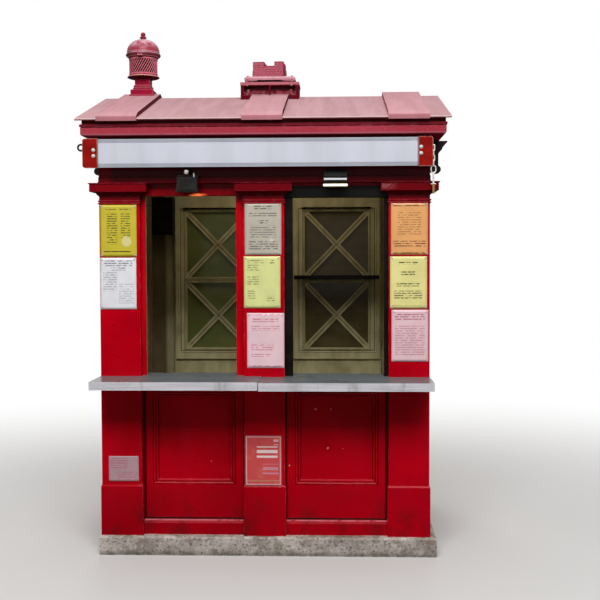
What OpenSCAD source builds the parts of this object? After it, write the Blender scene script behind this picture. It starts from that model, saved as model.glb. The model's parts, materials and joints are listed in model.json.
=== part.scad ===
// Cast-iron street kiosk with a gabled roof, two serving hatches, a roof lantern and a ridge ornament.
// Millimetres. Z is up, the serving side faces -Y, and the origin is on the ground at the middle
// of the whole footprint. "Out" in the comments means away from the room, past the pilaster faces.

/* [Body] */
// Width over the corner pilasters
body_w = 1898; // [1800:2:2100]
// Depth over the corner pilasters
body_d = 1360; // [1240:2:1500]
// Width of one pilaster
pilaster_w = 234; // [210:2:250]
// Thickness of the castings
cast_t = 12; // [8:1:16]
// Height of the concrete plinth
plinth_h = 108; // [80:2:140]
// How far the wall panels stand back from the pilaster faces
wall_back = 45; // [30:1:60]
// Thickness of a wall panel at its frame
wall_t = 22; // [18:1:30]

/* [Heights] */
// Top of the capitals
capital_z = 2150; // [2100:5:2200]
// Underside of the cornice
cornice_z = 2413; // [2400:1:2420]
// Top edge of the roof at the eaves
eave_z = 2508; // [2500:1:2530]
// Top of the roof at the ridge
ridge_z = 2743; // [2720:1:2770]
// Top of the base blocks of the pilasters
base_block_z = 404; // [350:2:450]

/* [Roof] */
// Overhang of the roof past the pilaster faces
eave_out = 110; // [100:1:130]
// Projection of the cornice past the pilaster faces
cornice_out = 84; // [76:1:92]
// Thickness of the roof plates, measured upright
roof_t = 12; // [10:1:16]
// Width of a raised strap
strap_w = 230; // [200:2:250]
// Height of a strap above the roof plate
strap_t = 26; // [20:1:28]
// Distance of the outer straps from the middle
strap_x = 822; // [780:2:840]

/* [Serving side] */
// Reach of the counter in front of the pilaster faces
counter_out = 287; // [200:1:320]
// Reach of the counter behind the pilaster faces
counter_in = 180; // [120:1:220]
// Top of the left counter
counter_z = 1038; // [1000:1:1060]
// Step down from the left counter to the right one
counter_step = 4; // [0:1:8]
// Depth of the folded lip of the counters
lip_h = 46; // [30:1:60]
// Width of a hatch jamb beside a corner
jamb_w = 25; // [20:1:40]
// Width of a hatch jamb beside the middle pilaster
mid_jamb_w = 47; // [30:1:60]
// Underside of the lintel over the left hatch
left_lintel_z = 2078; // [2060:1:2090]
// Underside of the lintel over the right hatch
right_lintel_z = 2065; // [2050:1:2090]

/* [Sign board] */
// Left end of the white panel
sign_x0 = -931; // [-940:1:-900]
// Right end of the white panel
sign_x1 = 876; // [860:1:890]
// Bottom of the panel
sign_z0 = 2233; // [2220:1:2240]
// Top of the panel
sign_z1 = 2391; // [2380:1:2395]
// Length of the left end board
sign_end_left = 86; // [60:1:100]
// Length of the right end board
sign_end_right = 80; // [60:1:100]

/* [Roof lantern] */
// Place of the lantern along the ridge
lantern_x = -816; // [-820:1:-790]
// Radius of the lattice cage
cage_r = 89; // [84:1:94]
// Outer strands of the lattice, which lean one way
strands = 36; // [28:1:40]
// Inner strands of the lattice, which lean the other way
inner_strands = 22; // [18:1:26]
// Turn of an outer strand from bottom to top, in degrees
strand_turn = 39; // [30:1:45]

/* [Ridge ornament] */
// Width of the pedestal
crest_w = 370; // [350:2:390]
// Depth of the pedestal
crest_d = 210; // [190:2:220]
// Top of the pedestal plate
crest_z = 2822; // [2815:1:2835]
// Width of the castle
castle_w = 192; // [180:2:204]
// Top of the castle
castle_z = 2955; // [2940:1:2970]

/* [Hidden] */
$fn = 48;
eps = 0.5;

half_w = body_w / 2;
half_d = body_d / 2;
bay_w = half_w - 1.5 * pilaster_w;
bay_x = (half_w - pilaster_w / 2) / 2;
end_bay_w = body_d - 2 * pilaster_w;
wall_in = wall_back + wall_t;

// The straps and the counter reach furthest back and front
strap_lip = 6;
body_y = (counter_out - eave_out - strap_lip) / 2;

red = [0.55, 0.02, 0.09];
roof_red = [0.66, 0.28, 0.34];
steel = [0.72, 0.72, 0.72];
black = [0.05, 0.05, 0.05];
cream = [0.62, 0.62, 0.5];

// Puts the body's own middle in its place over the origin
module on_site() translate([0, body_y, 0]) children();

// A shape drawn in (y, z), run along X
module along_x(x0, x1)
    translate([x0, 0, 0]) rotate([90, 0, 90]) linear_extrude(x1 - x0) children();

// A shape drawn in (x, z), run along Y
module along_y(y0, y1)
    translate([0, y1, 0]) rotate([90, 0, 0]) linear_extrude(y1 - y0) children();

// A block between two corners
module block(low, high) translate(low) cube(high - low);

// Children are drawn against the front, with y = 0 on the pilaster faces and +y into the room
module at_front() translate([0, -half_d, 0]) children();
module at_back() rotate([0, 0, 180]) at_front() children();
module at_right() rotate([0, 0, 90]) translate([0, -half_w, 0]) children();
module at_left() rotate([0, 0, -90]) translate([0, -half_w, 0]) children();

// Plinth and floor

plinth_left = 11;
plinth_right = 41;
plinth_front = 38;
plinth_edge = 8;

module plinth() {
    x0 = -half_w - plinth_left;
    x1 = half_w + plinth_right;
    y1 = half_d + plinth_front;
    e = plinth_edge;
    color([0.6, 0.58, 0.54]) on_site() intersection() {
        along_x(x0, x1)
            polygon([[-y1, 0], [y1, 0], [y1, plinth_h - e], [y1 - e, plinth_h],
                     [-y1 + e, plinth_h], [-y1, plinth_h - e]]);
        along_y(-y1, y1)
            polygon([[x0, 0], [x1, 0], [x1, plinth_h - e], [x1 - e, plinth_h],
                     [x0 + e, plinth_h], [x0, plinth_h - e]]);
    }
}

floor_t = 22;
floor_z = plinth_h + floor_t;
floor_gap = 5;

module floor() {
    fx = half_w - wall_in - floor_gap;
    fy = half_d - wall_in - floor_gap;
    color([0.35, 0.33, 0.3]) on_site()
        block([-fx, -fy, plinth_h], [fx, fy, floor_z]);
}

// Pilasters

block_out = 6;
bead_out = 7;
fascia_out = 46;
cap_out = 52;

// Outline of a pilaster as [projection, height], from the base block up to the capital
pilaster_edge = concat(
    [[block_out, plinth_h], [block_out, base_block_z - 10], [0, base_block_z]],
    [for (z = [capital_z - 115, capital_z - 102]) each
        [[0, z - 5], [bead_out, z - 3], [bead_out, z + 3], [0, z + 5]]],
    [[0, capital_z - 74], [3, capital_z - 74]],
    [for (a = [0 : 22.5 : 90]) [4 + 10 * sin(a), capital_z - 70 + 15 * (1 - cos(a))]],
    [[20, capital_z - 52], [fascia_out, capital_z - 50], [fascia_out, capital_z - 7]],
    [[cap_out, capital_z - 5], [cap_out, capital_z]]
);

// One face of a pilaster with its capital and base, front at y = 0
module pilaster_mass(depth) {
    e = pilaster_edge;
    n = len(e);
    w = pilaster_w / 2;
    intersection() {
        along_y(-cap_out, depth)
            polygon(concat([for (p = e) [w + p[0], p[1]]],
                           [for (i = [n - 1 : -1 : 0]) [-w - e[i][0], e[i][1]]]));
        along_x(-w - cap_out, w + cap_out)
            polygon(concat([for (p = e) [-p[0], p[1]]], [[depth, capital_z], [depth, plinth_h]]));
    }
}

// The hollow behind one face
module pilaster_hollow(depth)
    block([-pilaster_w / 2 + cast_t, cast_t, plinth_h - 1], [pilaster_w / 2 - cast_t, depth + 1, capital_z + 1]);

module mid_pilaster()
    difference() {
        pilaster_mass(wall_in);
        pilaster_hollow(wall_in);
    }

// Corner casting: a front face and an end face that share one corner, seen from the front left
module corner_post() {
    c = pilaster_w / 2;
    difference() {
        union() {
            translate([c, 0, 0]) pilaster_mass(wall_in);
            mirror([1, -1, 0]) translate([c, 0, 0]) pilaster_mass(wall_in);
        }
        translate([c, 0, 0]) pilaster_hollow(wall_in);
        mirror([1, -1, 0]) translate([c, 0, 0]) pilaster_hollow(wall_in);
    }
}

module post_at(side, face)
    color(red) on_site()
        translate([side * half_w, face * half_d, 0])
            mirror([side > 0 ? 1 : 0, 0, 0]) mirror([0, face > 0 ? 1 : 0, 0]) corner_post();

module front_left_post() post_at(-1, -1);
module front_right_post() post_at(1, -1);
module back_left_post() post_at(-1, 1);
module back_right_post() post_at(1, 1);

module mid_pilasters()
    color(red) on_site() {
        at_front() mid_pilaster();
        at_back() mid_pilaster();
    }

// Dado panels under the hatches and windows

kerb_z = 175;
kerb_slope = 21;
slot_h = 6;
kerb_set = 20;
field_margin = 90;
field_z0 = 428;
field_z1 = 908;
field_sink = 10;
mould_w = 30;
mould_up = 7;

// Section of the raised moulding: x across, away from the panel field, y proud of the frame
module mould_section()
    polygon(concat([[0, -field_sink], [0, 0]],
                   [for (a = [0 : 30 : 180]) [7 - 7 * cos(a), mould_up * sin(a)]],
                   [[16, 1], [22, 4], [mould_w - 4, 4], [mould_w, 0], [mould_w, -field_sink]]));

// One mitred side of the moulding, along +X, with the field on the side of +z
module mould_side(length)
    intersection() {
        along_x(-mould_w, length + mould_w)
            rotate(-90) mirror([0, 1]) mould_section();
        along_y(-20, 40)
            polygon([[0, 0], [length, 0], [length + mould_w, -mould_w], [-mould_w, -mould_w]]);
    }

// Moulding round a field of w by h, its inner corner at the origin
module mould_frame(w, h) {
    mould_side(w);
    translate([0, 0, h]) mirror([0, 0, 1]) mould_side(w);
    rotate([0, 90, 0]) mirror([0, 0, 0]) translate([-h, 0, 0]) mould_side(h);
    translate([w, 0, 0]) rotate([0, -90, 0]) mould_side(h);
}

// A dado w wide with its top at top_z, centred on x = 0
module dado(w, top_z) {
    fw = w - 2 * field_margin;
    plate_z = kerb_z + kerb_slope + slot_h;
    difference() {
        union() {
            along_x(-w / 2, w / 2)
                polygon([[kerb_set, plinth_h], [kerb_set, kerb_z], [wall_back, kerb_z + kerb_slope],
                         [wall_in - 8, kerb_z + kerb_slope], [wall_in - 8, plate_z], [wall_back, plate_z],
                         [wall_back, top_z], [wall_in, top_z], [wall_in, plinth_h]]);
            translate([-fw / 2, wall_back, field_z0]) mould_frame(fw, field_z1 - field_z0);
        }
        block([-fw / 2, wall_back - 20, field_z0], [fw / 2, wall_back + field_sink, field_z1]);
    }
}

module front_dados()
    color(red) on_site() at_front() {
        translate([-bay_x, 0, 0]) dado(bay_w, counter_z - sheet_t);
        translate([bay_x, 0, 0]) dado(bay_w, counter_z - counter_step - sheet_t);
    }

back_sill_z = 1010;

module back_dados()
    color(red) on_site() at_back()
        for (s = [-1, 1]) translate([s * bay_x, 0, 0]) dado(bay_w, back_sill_z);

module right_dado() color(red) on_site() at_right() dado(end_bay_w, back_sill_z);

// Hatch frames: two jambs and a head that stand clear of each other by a hair

hatch_frame_d = 24;
head_bead_h = 16;
head_bead_out = 5;

// Side is -1 for the left bay, so that the wider jamb stands beside the middle pilaster
module hatch_frame(sill_z, head_z, side) {
    y0 = wall_back;
    y1 = wall_back + hatch_frame_d;
    w = bay_w / 2;
    bead_z = capital_z - head_bead_h;
    translate([side * (w - jamb_w / 2), 0, 0])
        block([-jamb_w / 2, y0, sill_z + eps], [jamb_w / 2, y1, head_z - eps]);
    translate([-side * (w - mid_jamb_w / 2), 0, 0])
        block([-mid_jamb_w / 2, y0, sill_z + eps], [mid_jamb_w / 2, y1, head_z - eps]);
    along_x(-w, w)
        polygon([[y0, head_z + 4], [y0 + 4, head_z], [y1, head_z], [y1, capital_z - eps],
                 [y0 - head_bead_out, capital_z - eps], [y0 - head_bead_out, bead_z], [y0, bead_z]]);
}

module left_hatch_frame()
    color(red) on_site() at_front()
        translate([-bay_x, 0, 0]) hatch_frame(counter_z, left_lintel_z, -1);

module right_hatch_frame()
    color(black) on_site() at_front()
        translate([bay_x, 0, 0]) hatch_frame(counter_z - counter_step, right_lintel_z, 1);

// Windows with saltire bars

window_d = 44;
sash_w = 78;
window_head = 108;
rail_w = 40;
rebate_w = 14;
rebate_d = 8;
bar_w = 36;
bar_y0 = 17;
bar_y1 = 32;
bar_bead_w = 7;
bar_bead_t = 4;
tenon = 2;

// Bottom and height of two panes, one over the other, between z0 and z1
function pane_rows(z0, z1, rail) =
    let (h = (z1 - z0 - rail) / 2)
    [[z0, h], [z0 + h + rail, h]];

// Two diagonal bars across a pane w by h, let into its frame all round; centred on the origin.
// Each has a bead along both edges on the room side.
module saltire(w, h)
    intersection() {
        block([-w / 2 - tenon, 0, -h / 2 - tenon], [w / 2 + tenon, window_d, h / 2 + tenon]);
        for (s = [-1, 1])
            rotate([0, s * atan2(h, w), 0]) {
                block([-w, bar_y0, -bar_w / 2], [w, bar_y1, bar_w / 2]);
                for (k = [-1, 1])
                    translate([0, 0, k * (bar_w - bar_bead_w) / 2])
                        block([-w, bar_y1 - 1, -bar_bead_w / 2], [w, bar_y1 + bar_bead_t, bar_bead_w / 2]);
            }
    }

// Cuts the panes out of a sheet t thick with its outer face at y = 0, with a step round each pane on
// the room side, and crosses them with bars
module crossed_panes(w, rows, t) {
    difference() {
        children();
        for (row = rows) {
            block([-w / 2, -1, row[0]], [w / 2, t + 1, row[0] + row[1]]);
            block([-w / 2 - rebate_w, t - rebate_d, row[0] - rebate_w],
                  [w / 2 + rebate_w, t + 1, row[0] + row[1] + rebate_w]);
        }
    }
    for (row = rows)
        translate([0, 0, row[0] + row[1] / 2]) saltire(w, row[1]);
}

// Frame w wide from z0 to z1 with two crossed panes over each other, outer face at y = 0
module window(w, z0, z1)
    crossed_panes(w - 2 * sash_w, window_rows(z0, z1), window_d)
        block([-w / 2, 0, z0], [w / 2, window_d, z1]);

function window_rows(z0, z1) = pane_rows(z0 + sash_w, z1 - window_head, rail_w);

module back_windows()
    color(cream) on_site() at_back()
        for (s = [-1, 1]) translate([s * bay_x, wall_back, 0]) window(bay_w, back_sill_z, capital_z - eps);

module right_window()
    color(cream) on_site() at_right()
        translate([0, wall_back, 0]) window(end_bay_w, back_sill_z, capital_z - eps);

// Door in the left end, shut

door_jamb = 44;
door_frame_d = 50;
door_gap = 3;
door_t = 42;
door_set = 6;
door_w = end_bay_w - 2 * door_jamb - 2 * door_gap;
door_z0 = floor_z + 8;
door_z1 = left_lintel_z - door_gap;
door_glass_z = 1060;
stile_w = 92;
door_head = 100;
lock_rail = 150;

module left_door_frame()
    color(red) on_site() at_left() {
        y0 = wall_back;
        y1 = wall_back + door_frame_d;
        for (s = [-1, 1])
            translate([s * (end_bay_w - door_jamb) / 2, 0, 0])
                block([-door_jamb / 2, y0, floor_z + eps], [door_jamb / 2, y1, left_lintel_z - eps]);
        block([-end_bay_w / 2, y0, left_lintel_z], [end_bay_w / 2, y1, capital_z - eps]);
        along_x(-end_bay_w / 2, end_bay_w / 2)
            polygon([[kerb_set, plinth_h], [kerb_set, floor_z - 6], [wall_back, floor_z],
                     [wall_in, floor_z], [wall_in, plinth_h]]);
    }

door_rows = pane_rows(door_glass_z, door_z1 - door_head, rail_w);

module left_door() {
    w = door_w - 2 * stile_w - 2 * mould_w;
    z = door_z0 + 190;
    h = door_glass_z - lock_rail - z;
    color(red) on_site() at_left() translate([0, wall_back + door_set, 0]) {
        crossed_panes(door_w - 2 * stile_w, door_rows, door_t)
            difference() {
                block([-door_w / 2, 0, door_z0], [door_w / 2, door_t, door_z1]);
                block([-w / 2, -1, z], [w / 2, field_sink, z + h]);
            }
        translate([-w / 2, 0, z]) mould_frame(w, h);
    }
}

// Glass on the outer side of the bars of the windows and the door

glass_t = 4;
glass_y = bar_y0 - glass_t - 1;

module panes(w, rows, y)
    for (row = rows) block([-w / 2, y, row[0]], [w / 2, y + glass_t, row[0] + row[1]]);

module window_glass() {
    y = wall_back + glass_y;
    rows = window_rows(back_sill_z, capital_z - eps);
    color([0.55, 0.65, 0.62, 0.4]) on_site() {
        at_back()
            for (s = [-1, 1]) translate([s * bay_x, 0, 0]) panes(bay_w - 2 * sash_w, rows, y);
        at_right() panes(end_bay_w - 2 * sash_w, rows, y);
        at_left() panes(door_w - 2 * stile_w, door_rows, y + door_set);
    }
}

// Frieze over the capitals

frieze_t = 14;
frieze_bead = 6;

// A straight run of a section drawn in (out, z), mitred into its neighbours; half is half its length
module mitred(half, reach)
    intersection() {
        along_x(-half - reach, half + reach) mirror([1, 0]) children();
        linear_extrude(ridge_z)
            polygon([[-half - reach, -reach], [half + reach, -reach], [half - reach * 2, reach * 2],
                     [-half + reach * 2, reach * 2]]);
    }

module frieze_section()
    polygon([[-wall_in, capital_z], [frieze_bead, capital_z], [frieze_bead, capital_z + 7], [3, capital_z + 10],
             [3, capital_z + 36], [0, capital_z + 38], [0, cornice_z], [-frieze_t, cornice_z],
             [-frieze_t, capital_z + 12], [-wall_in, capital_z + 12]]);

module front_frieze() color(red) on_site() at_front() mitred(half_w, 100) frieze_section();
module back_frieze() color(red) on_site() at_back() mitred(half_w, 100) frieze_section();

module end_friezes()
    color(red) on_site() {
        at_left() mitred(half_d - eps, 100) frieze_section();
        at_right() mitred(half_d - eps, 100) frieze_section();
    }

// Cornice and pediments

roof_slope = (ridge_z - eave_z) / (half_d + eave_out);
cornice_h = 65;
cornice_back = 34;
crown_out = 62;

// Underside of the roof over a point that far out from the pilaster faces
function roof_under(out) = eave_z - roof_t + (eave_out - out) * roof_slope;

// Cornice section in (out, z): soffit, face, drip and crown, open at the back
module cornice_section(top) {
    z0 = cornice_z;
    z1 = cornice_z + cornice_h;
    t = cast_t;
    o = cornice_out;
    polygon([[-cornice_back, z0], [o - 9, z0], [o - 4, z0 + 2], [o - 1, z0 + 6], [o, z0 + 11], [o, z0 + 45],
             [o - 5, z0 + 46], [o - 5, z0 + 49], [o + 4, z0 + 50], [o + 5, z1 - 4], [o + 3, z1], [crown_out, z1],
             [crown_out, top ? roof_under(crown_out) : z1], [crown_out - t, top ? roof_under(crown_out - t) : z1],
             [crown_out - t, z1 - t], [o - t - 5, z1 - t], [o - t - 5, z0 + t], [-cornice_back, z0 + t]]);
}

module front_cornice() color(red) on_site() at_front() mitred(half_w, 120) cornice_section(true);
module back_cornice() color(red) on_site() at_back() mitred(half_w, 120) cornice_section(true);

tympanum_t = 12;
rake_h = 34;

// End cornice, tympanum and raking cornice of one gable, cast in one
module pediment() {
    z1 = cornice_z + cornice_h;
    under = ridge_z - roof_t;
    foot = half_d + crown_out - cast_t - eps;
    mitred(half_d, 120) cornice_section(false);
    along_y(0, tympanum_t)
        polygon([[-half_d, z1 - cast_t], [half_d, z1 - cast_t], [half_d, roof_under(0)], [0, under],
                 [-half_d, roof_under(0)]]);
    block([-half_d, 0, z1 - cast_t - 4], [half_d, cornice_back, z1 - cast_t]);
    along_y(-cornice_out, tympanum_t)
        polygon([[-foot, z1 - 4], [-foot, roof_under(foot - half_d)], [0, under],
                 [foot, roof_under(foot - half_d)], [foot, z1 - 4], [foot - 30, z1 - 4], [0, under - rake_h],
                 [-foot + 30, z1 - 4]]);
}

module left_pediment() color(red) on_site() at_left() pediment();
module right_pediment() color(red) on_site() at_right() pediment();

// Hood on two scrolled brackets over each end bay

hood_out = 123;
hood_z1 = cornice_z - 6;
hood_t = 27;
console_w = 62;
scroll_r = 23;

// Scrolled bracket in (out, z)
module console_section() {
    z = hood_z1 - hood_t;
    translate([62, hood_z1 - 167]) circle(scroll_r);
    polygon([[0, hood_z1 - 182], [62, hood_z1 - 182], [70, hood_z1 - 145], [70, hood_z1 - 77], [74, hood_z1 - 69],
             [94, hood_z1 - 46], [92, hood_z1 - 43], [104, z], [104, z + 2], [0, z + 2]]);
}

module hood() {
    w = end_bay_w / 2;
    z0 = hood_z1 - hood_t;
    along_x(-w, w)
        mirror([1, 0])
            polygon([[0, z0], [hood_out - 19, z0], [hood_out, hood_z1 - 7], [hood_out, hood_z1], [0, hood_z1]]);
    for (s = [-1, 1])
        translate([s * (w - console_w / 2), 0, 0])
            along_x(-console_w / 2, console_w / 2) mirror([1, 0]) console_section();
}

module end_hoods()
    color(black) on_site() {
        at_left() hood();
        at_right() hood();
    }

// Roof plates and straps

module roof_plate()
    along_x(-half_w - eave_out, half_w + eave_out)
        polygon([[-half_d - eave_out, eave_z - roof_t], [-half_d - eave_out, eave_z], [0, ridge_z],
                 [0, ridge_z - roof_t]]);

module front_roof() color(roof_red) on_site() roof_plate();
module back_roof() color(roof_red) on_site() mirror([0, 1, 0]) roof_plate();

strap_nose = 40;

// Strap over both slopes, hooked over the eaves with a rounded nose
module strap() {
    y1 = half_d + eave_out;
    y2 = y1 + strap_lip;
    zb = eave_z + strap_t + strap_nose * roof_slope;
    z0 = eave_z - roof_t - 4;
    nose = [[y1, z0], [y2, z0], [y2, eave_z + 3], [y2 - 3, eave_z + 11], [y1 - 5, eave_z + 19],
            [y1 - 18, eave_z + strap_t], [y1 - strap_nose, zb]];
    n = len(nose);
    along_x(-strap_w / 2, strap_w / 2)
        polygon(concat([for (p = nose) [-p[0], p[1]]], [[0, ridge_z + strap_t]],
                       [for (i = [n - 1 : -1 : 0]) nose[i]], [[y1, eave_z], [0, ridge_z], [-y1, eave_z]]));
}

module roof_straps()
    color(roof_red) on_site()
        for (x = [-strap_x, 0, strap_x]) translate([x, 0, 0]) strap();

// Roof lantern

lantern_z = 2789;
neck_z = 2856;
cage_z0 = 2887;
cage_z1 = 2990;
dome_z = 3028;
dome_top = 3115;
dome_r = 104;
skirt_r = 111;
flange_r = 102;
core_r = 79;
ring_h = 9;

// A square moulding with mitred corners: section in (half width, z)
module square_turned(points)
    intersection() {
        along_x(-200, 200)
            polygon(concat(points, [for (i = [len(points) - 1 : -1 : 0]) [-points[i][0], points[i][1]]]));
        along_y(-200, 200)
            polygon(concat(points, [for (i = [len(points) - 1 : -1 : 0]) [-points[i][0], points[i][1]]]));
    }

// The space under the straps and the roof, to cut a foot that sits astride the ridge
module under_slope(rise)
    along_x(-400, 400)
        polygon([[-400, 0], [400, 0], [400, ridge_z + rise - 400 * roof_slope], [0, ridge_z + rise],
                 [-400, ridge_z + rise - 400 * roof_slope]]);

module lantern_base()
    color(red) on_site() translate([lantern_x, 0, 0]) {
        difference() {
            square_turned([[78, ridge_z - 20], [78, lantern_z - 34], [76, lantern_z - 32], [70.5, lantern_z - 32],
                           [70.5, lantern_z - 2], [68.5, lantern_z], [57, lantern_z], [57, lantern_z + 12],
                           [51, lantern_z + 14], [51, lantern_z + 17], [54, lantern_z + 18],
                           [54, lantern_z + 27], [47, lantern_z + 30], [47, neck_z + 3]]);
            under_slope(strap_t);
        }
        rotate_extrude()
            polygon([[0, neck_z - 10], [44, neck_z - 10], [47, neck_z], [62, neck_z + 4], [96, neck_z + 13],
                     [flange_r, neck_z + 16], [flange_r - 1, neck_z + 20], [94, neck_z + 24],
                     [cage_r + 2, neck_z + 27], [cage_r + 2, cage_z0], [core_r, cage_z0], [core_r, cage_z1],
                     [0, cage_z1]]);
    }

// Lattice of strands that lean both ways, between a bottom and a top ring
module lantern_cage() {
    h = cage_z1 - cage_z0;
    color(red) on_site() translate([lantern_x, 0, cage_z0]) {
        for (z = [0, h - ring_h])
            translate([0, 0, z])
                rotate_extrude()
                    polygon([[core_r, 0], [cage_r + 2, 0], [cage_r + 2, ring_h - 2], [cage_r, ring_h],
                             [core_r, ring_h]]);
        strand_ring(strands, -strand_turn, 6, cage_r - 5, cage_r);
        strand_ring(inner_strands, strand_turn, 4, core_r, cage_r - 4);
    }
}

// A ring of leaning strands, w wide, between two radii
module strand_ring(count, turn, w, r0, r1)
    linear_extrude(cage_z1 - cage_z0, twist = turn, slices = 6, segments = 1)
        for (k = [0 : count - 1])
            rotate(k * 360 / count) translate([r0, -w / 2]) square([r1 - r0, w]);

dome_power = 2.15;

module lantern_dome() {
    lug_w = 30;
    color(roof_red) on_site() translate([lantern_x, 0, 0]) {
        rotate_extrude()
            polygon(concat(
                [[0, cage_z1], [cage_r + 1, cage_z1], [96, cage_z1 + 6], [skirt_r - 3, cage_z1 + 16],
                 [skirt_r, cage_z1 + 22], [skirt_r - 1, cage_z1 + 27], [skirt_r - 4, cage_z1 + 31],
                 [dome_r - 2, cage_z1 + 33], [dome_r - 2, dome_z - 1]],
                [for (a = [0 : 8 : 80])
                    [dome_r * pow(cos(a), 2 / dome_power),
                     dome_z + (dome_top - dome_z) * pow(sin(a), 2 / dome_power)]],
                [[14, dome_top - 1], [13, dome_top + 4], [21, dome_top + 8], [22.5, dome_top + 12],
                 [20, dome_top + 16], [11, dome_top + 19], [14, dome_top + 23], [16, dome_top + 32],
                 [13, dome_top + 40], [8, dome_top + 44], [0, dome_top + 46]]));
        difference() {
            translate([0, -skirt_r + 4, cage_z1 + 14]) block([-lug_w / 2, -8, -10], [lug_w / 2, 6, 10]);
            translate([0, -skirt_r - 5, cage_z1 + 12]) rotate([-90, 0, 0]) cylinder(h = 7, r = 5);
        }
    }
}

// Ridge ornament

crest_x = -1;
leg_w = 18;
foot_w = 46;
foot_h = 14;
sill_z = ridge_z - 17;
sill_h = 14;
corner_gusset = 10;
frame_t = 16;
plate_t = 18;
panel_t = 8;
panel_set = 44;
rib_w = 11;

// One upright frame of the pedestal in (x, z): legs, feet with curved brackets, sill, head and rib
module crest_frame_outline() {
    z1 = crest_z - plate_t;
    x1 = crest_w / 2 - 2;
    r = 20;
    for (s = [-1, 1]) {
        polygon([for (p = [[x1 - 2, 2660], [x1, z1], [x1 - leg_w, z1], [x1 - leg_w, 2660]]) [s * p[0], p[1]]]);
        polygon([for (p = concat([[x1 - leg_w, sill_z + sill_h], [x1 - leg_w, sill_z - r - 1]],
                                 [for (a = [0 : 15 : 90]) [x1 - foot_w - r + r * cos(a), sill_z - r + r * sin(a)]],
                                 [[x1 - foot_w - r, sill_z + 2]]))
                 [s * p[0], p[1]]]);
        translate([s * (x1 - foot_w / 2) - foot_w / 2, 2660]) square([foot_w, sill_z - r + foot_h - 2660]);
        polygon([for (p = [[x1 - leg_w, z1], [x1 - leg_w - corner_gusset, z1], [x1 - leg_w, z1 - corner_gusset]])
                 [s * p[0], p[1]]]);
    }
    translate([-x1, sill_z]) square([2 * x1, sill_h]);
    translate([-rib_w / 2, sill_z]) square([rib_w, z1 - sill_z]);
}

module crest_pedestal() {
    y = crest_d / 2;
    w = crest_w / 2;
    z1 = crest_z - plate_t;
    color(red) on_site() {
        difference() {
            translate([crest_x, 0, 0]) {
                for (s = [-1, 1]) {
                    translate([0, s * (y - frame_t / 2 - 4), 0])
                        along_y(-frame_t / 2, frame_t / 2) crest_frame_outline();
                    block([s * (w - 15) - 8, -y + 6, sill_z], [s * (w - 15) + 8, y - 6, z1]);
                    translate([0, s * (y - panel_set - panel_t / 2), 0])
                        block([-w + 10, -panel_t / 2, sill_z], [w - 10, panel_t / 2, z1]);
                }
                block([-w + 10, -y + 8, z1 - 3], [w - 10, y - 8, z1]);
            }
            under_slope(0);
            intersection() {
                under_slope(strap_t);
                block([-strap_w / 2 - 2, -300, 2600], [strap_w / 2 + 2, 300, 2800]);
            }
        }
        translate([crest_x, 0, 0])
            along_x(-w, w)
                polygon([[-y, z1], [y, z1], [y, crest_z - 4], [y - 4, crest_z], [-y + 4, crest_z],
                         [-y, crest_z - 4]]);
    }
}

cushion_w = 322;
cushion_d = 170;
cushion_h = 40;
slot_half = 92;
slot_rise = 15;

// Cushion with rolled ends and edges, hollowed underneath
module crest_cushion() {
    r = cushion_h / 2;
    color(roof_red) on_site() translate([crest_x, 0, crest_z])
        intersection() {
            along_y(-cushion_d / 2, cushion_d / 2)
                difference() {
                    union() {
                        for (s = [-1, 1]) translate([s * (cushion_w / 2 - r), r]) circle(r);
                        translate([-cushion_w / 2 + r, 0]) square([cushion_w - 2 * r, cushion_h]);
                    }
                    polygon([[-slot_half, -1], [-slot_half + 14, slot_rise], [slot_half - 14, slot_rise],
                             [slot_half, -1]]);
                }
            along_x(-cushion_w / 2, cushion_w / 2) {
                for (s = [-1, 1]) translate([s * (cushion_d / 2 - r), r]) circle(r);
                translate([-cushion_d / 2 + r, 0]) square([cushion_d - 2 * r, cushion_h]);
            }
        }
}

castle_d = 132;
castle_turn = -4;
castle_x = -7;
notch_x = 7;
notch_w = 64;
notch_h = 26;
buttress = 16;

// Castle: two towers and a lower wall between them, with a buttress at each end
module crest_castle() {
    z0 = crest_z + cushion_h;
    w = castle_w / 2;
    d = castle_d / 2;
    color(roof_red) on_site() translate([crest_x + castle_x, 0, 0]) rotate(castle_turn) {
        difference() {
            intersection() {
                along_y(-d, d) polygon([[-w - 2, z0], [w + 2, z0], [w, castle_z], [-w, castle_z]]);
                along_x(-w - 2, w + 2) polygon([[-d - 1, z0], [d + 1, z0], [d - 1, castle_z], [-d + 1, castle_z]]);
            }
            block([notch_x - notch_w / 2, -d - 5, castle_z - notch_h], [notch_x + notch_w / 2, d + 5, castle_z + 1]);
            block([-w - 5, -notch_w / 4, castle_z - notch_h], [w + 5, notch_w / 4, castle_z + 1]);
        }
        for (s = [-1, 1])
            translate([s * w, 0, 0])
                along_y(-buttress, buttress)
                    polygon([[-s * 4, z0], [s * 13, z0], [s * 11, z0 + 46], [s * 2, z0 + 54], [-s * 4, z0 + 54]]);
    }
}

// Counters: folded steel trays with bearers underneath

sheet_t = 4;
bearer_w = 30;
end_clear = 2;
counter_gap = 5;

// Tray from x0 to x1, with a tongue through the bay centred on bay
module counter(x0, x1, bay, top) {
    z0 = top - lip_h;
    difference() {
        union() {
            block([x0, -counter_out, z0], [x1, 0, top]);
            block([bay - bay_w / 2, 0, top - sheet_t], [bay + bay_w / 2, counter_in, top]);
        }
        block([x0 + sheet_t, -counter_out + sheet_t, z0 - 1], [x1 - sheet_t, 1, top - sheet_t]);
    }
    for (x = [x0 + 110, (x0 + x1) / 2, x1 - 110])
        block([x - bearer_w / 2, -counter_out + sheet_t, z0 + 4], [x + bearer_w / 2, 0, top - sheet_t]);
}

seam_x = -16;

module left_counter()
    color(steel) on_site() at_front() counter(-half_w - end_clear, seam_x - counter_gap / 2, -bay_x, counter_z);

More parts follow.
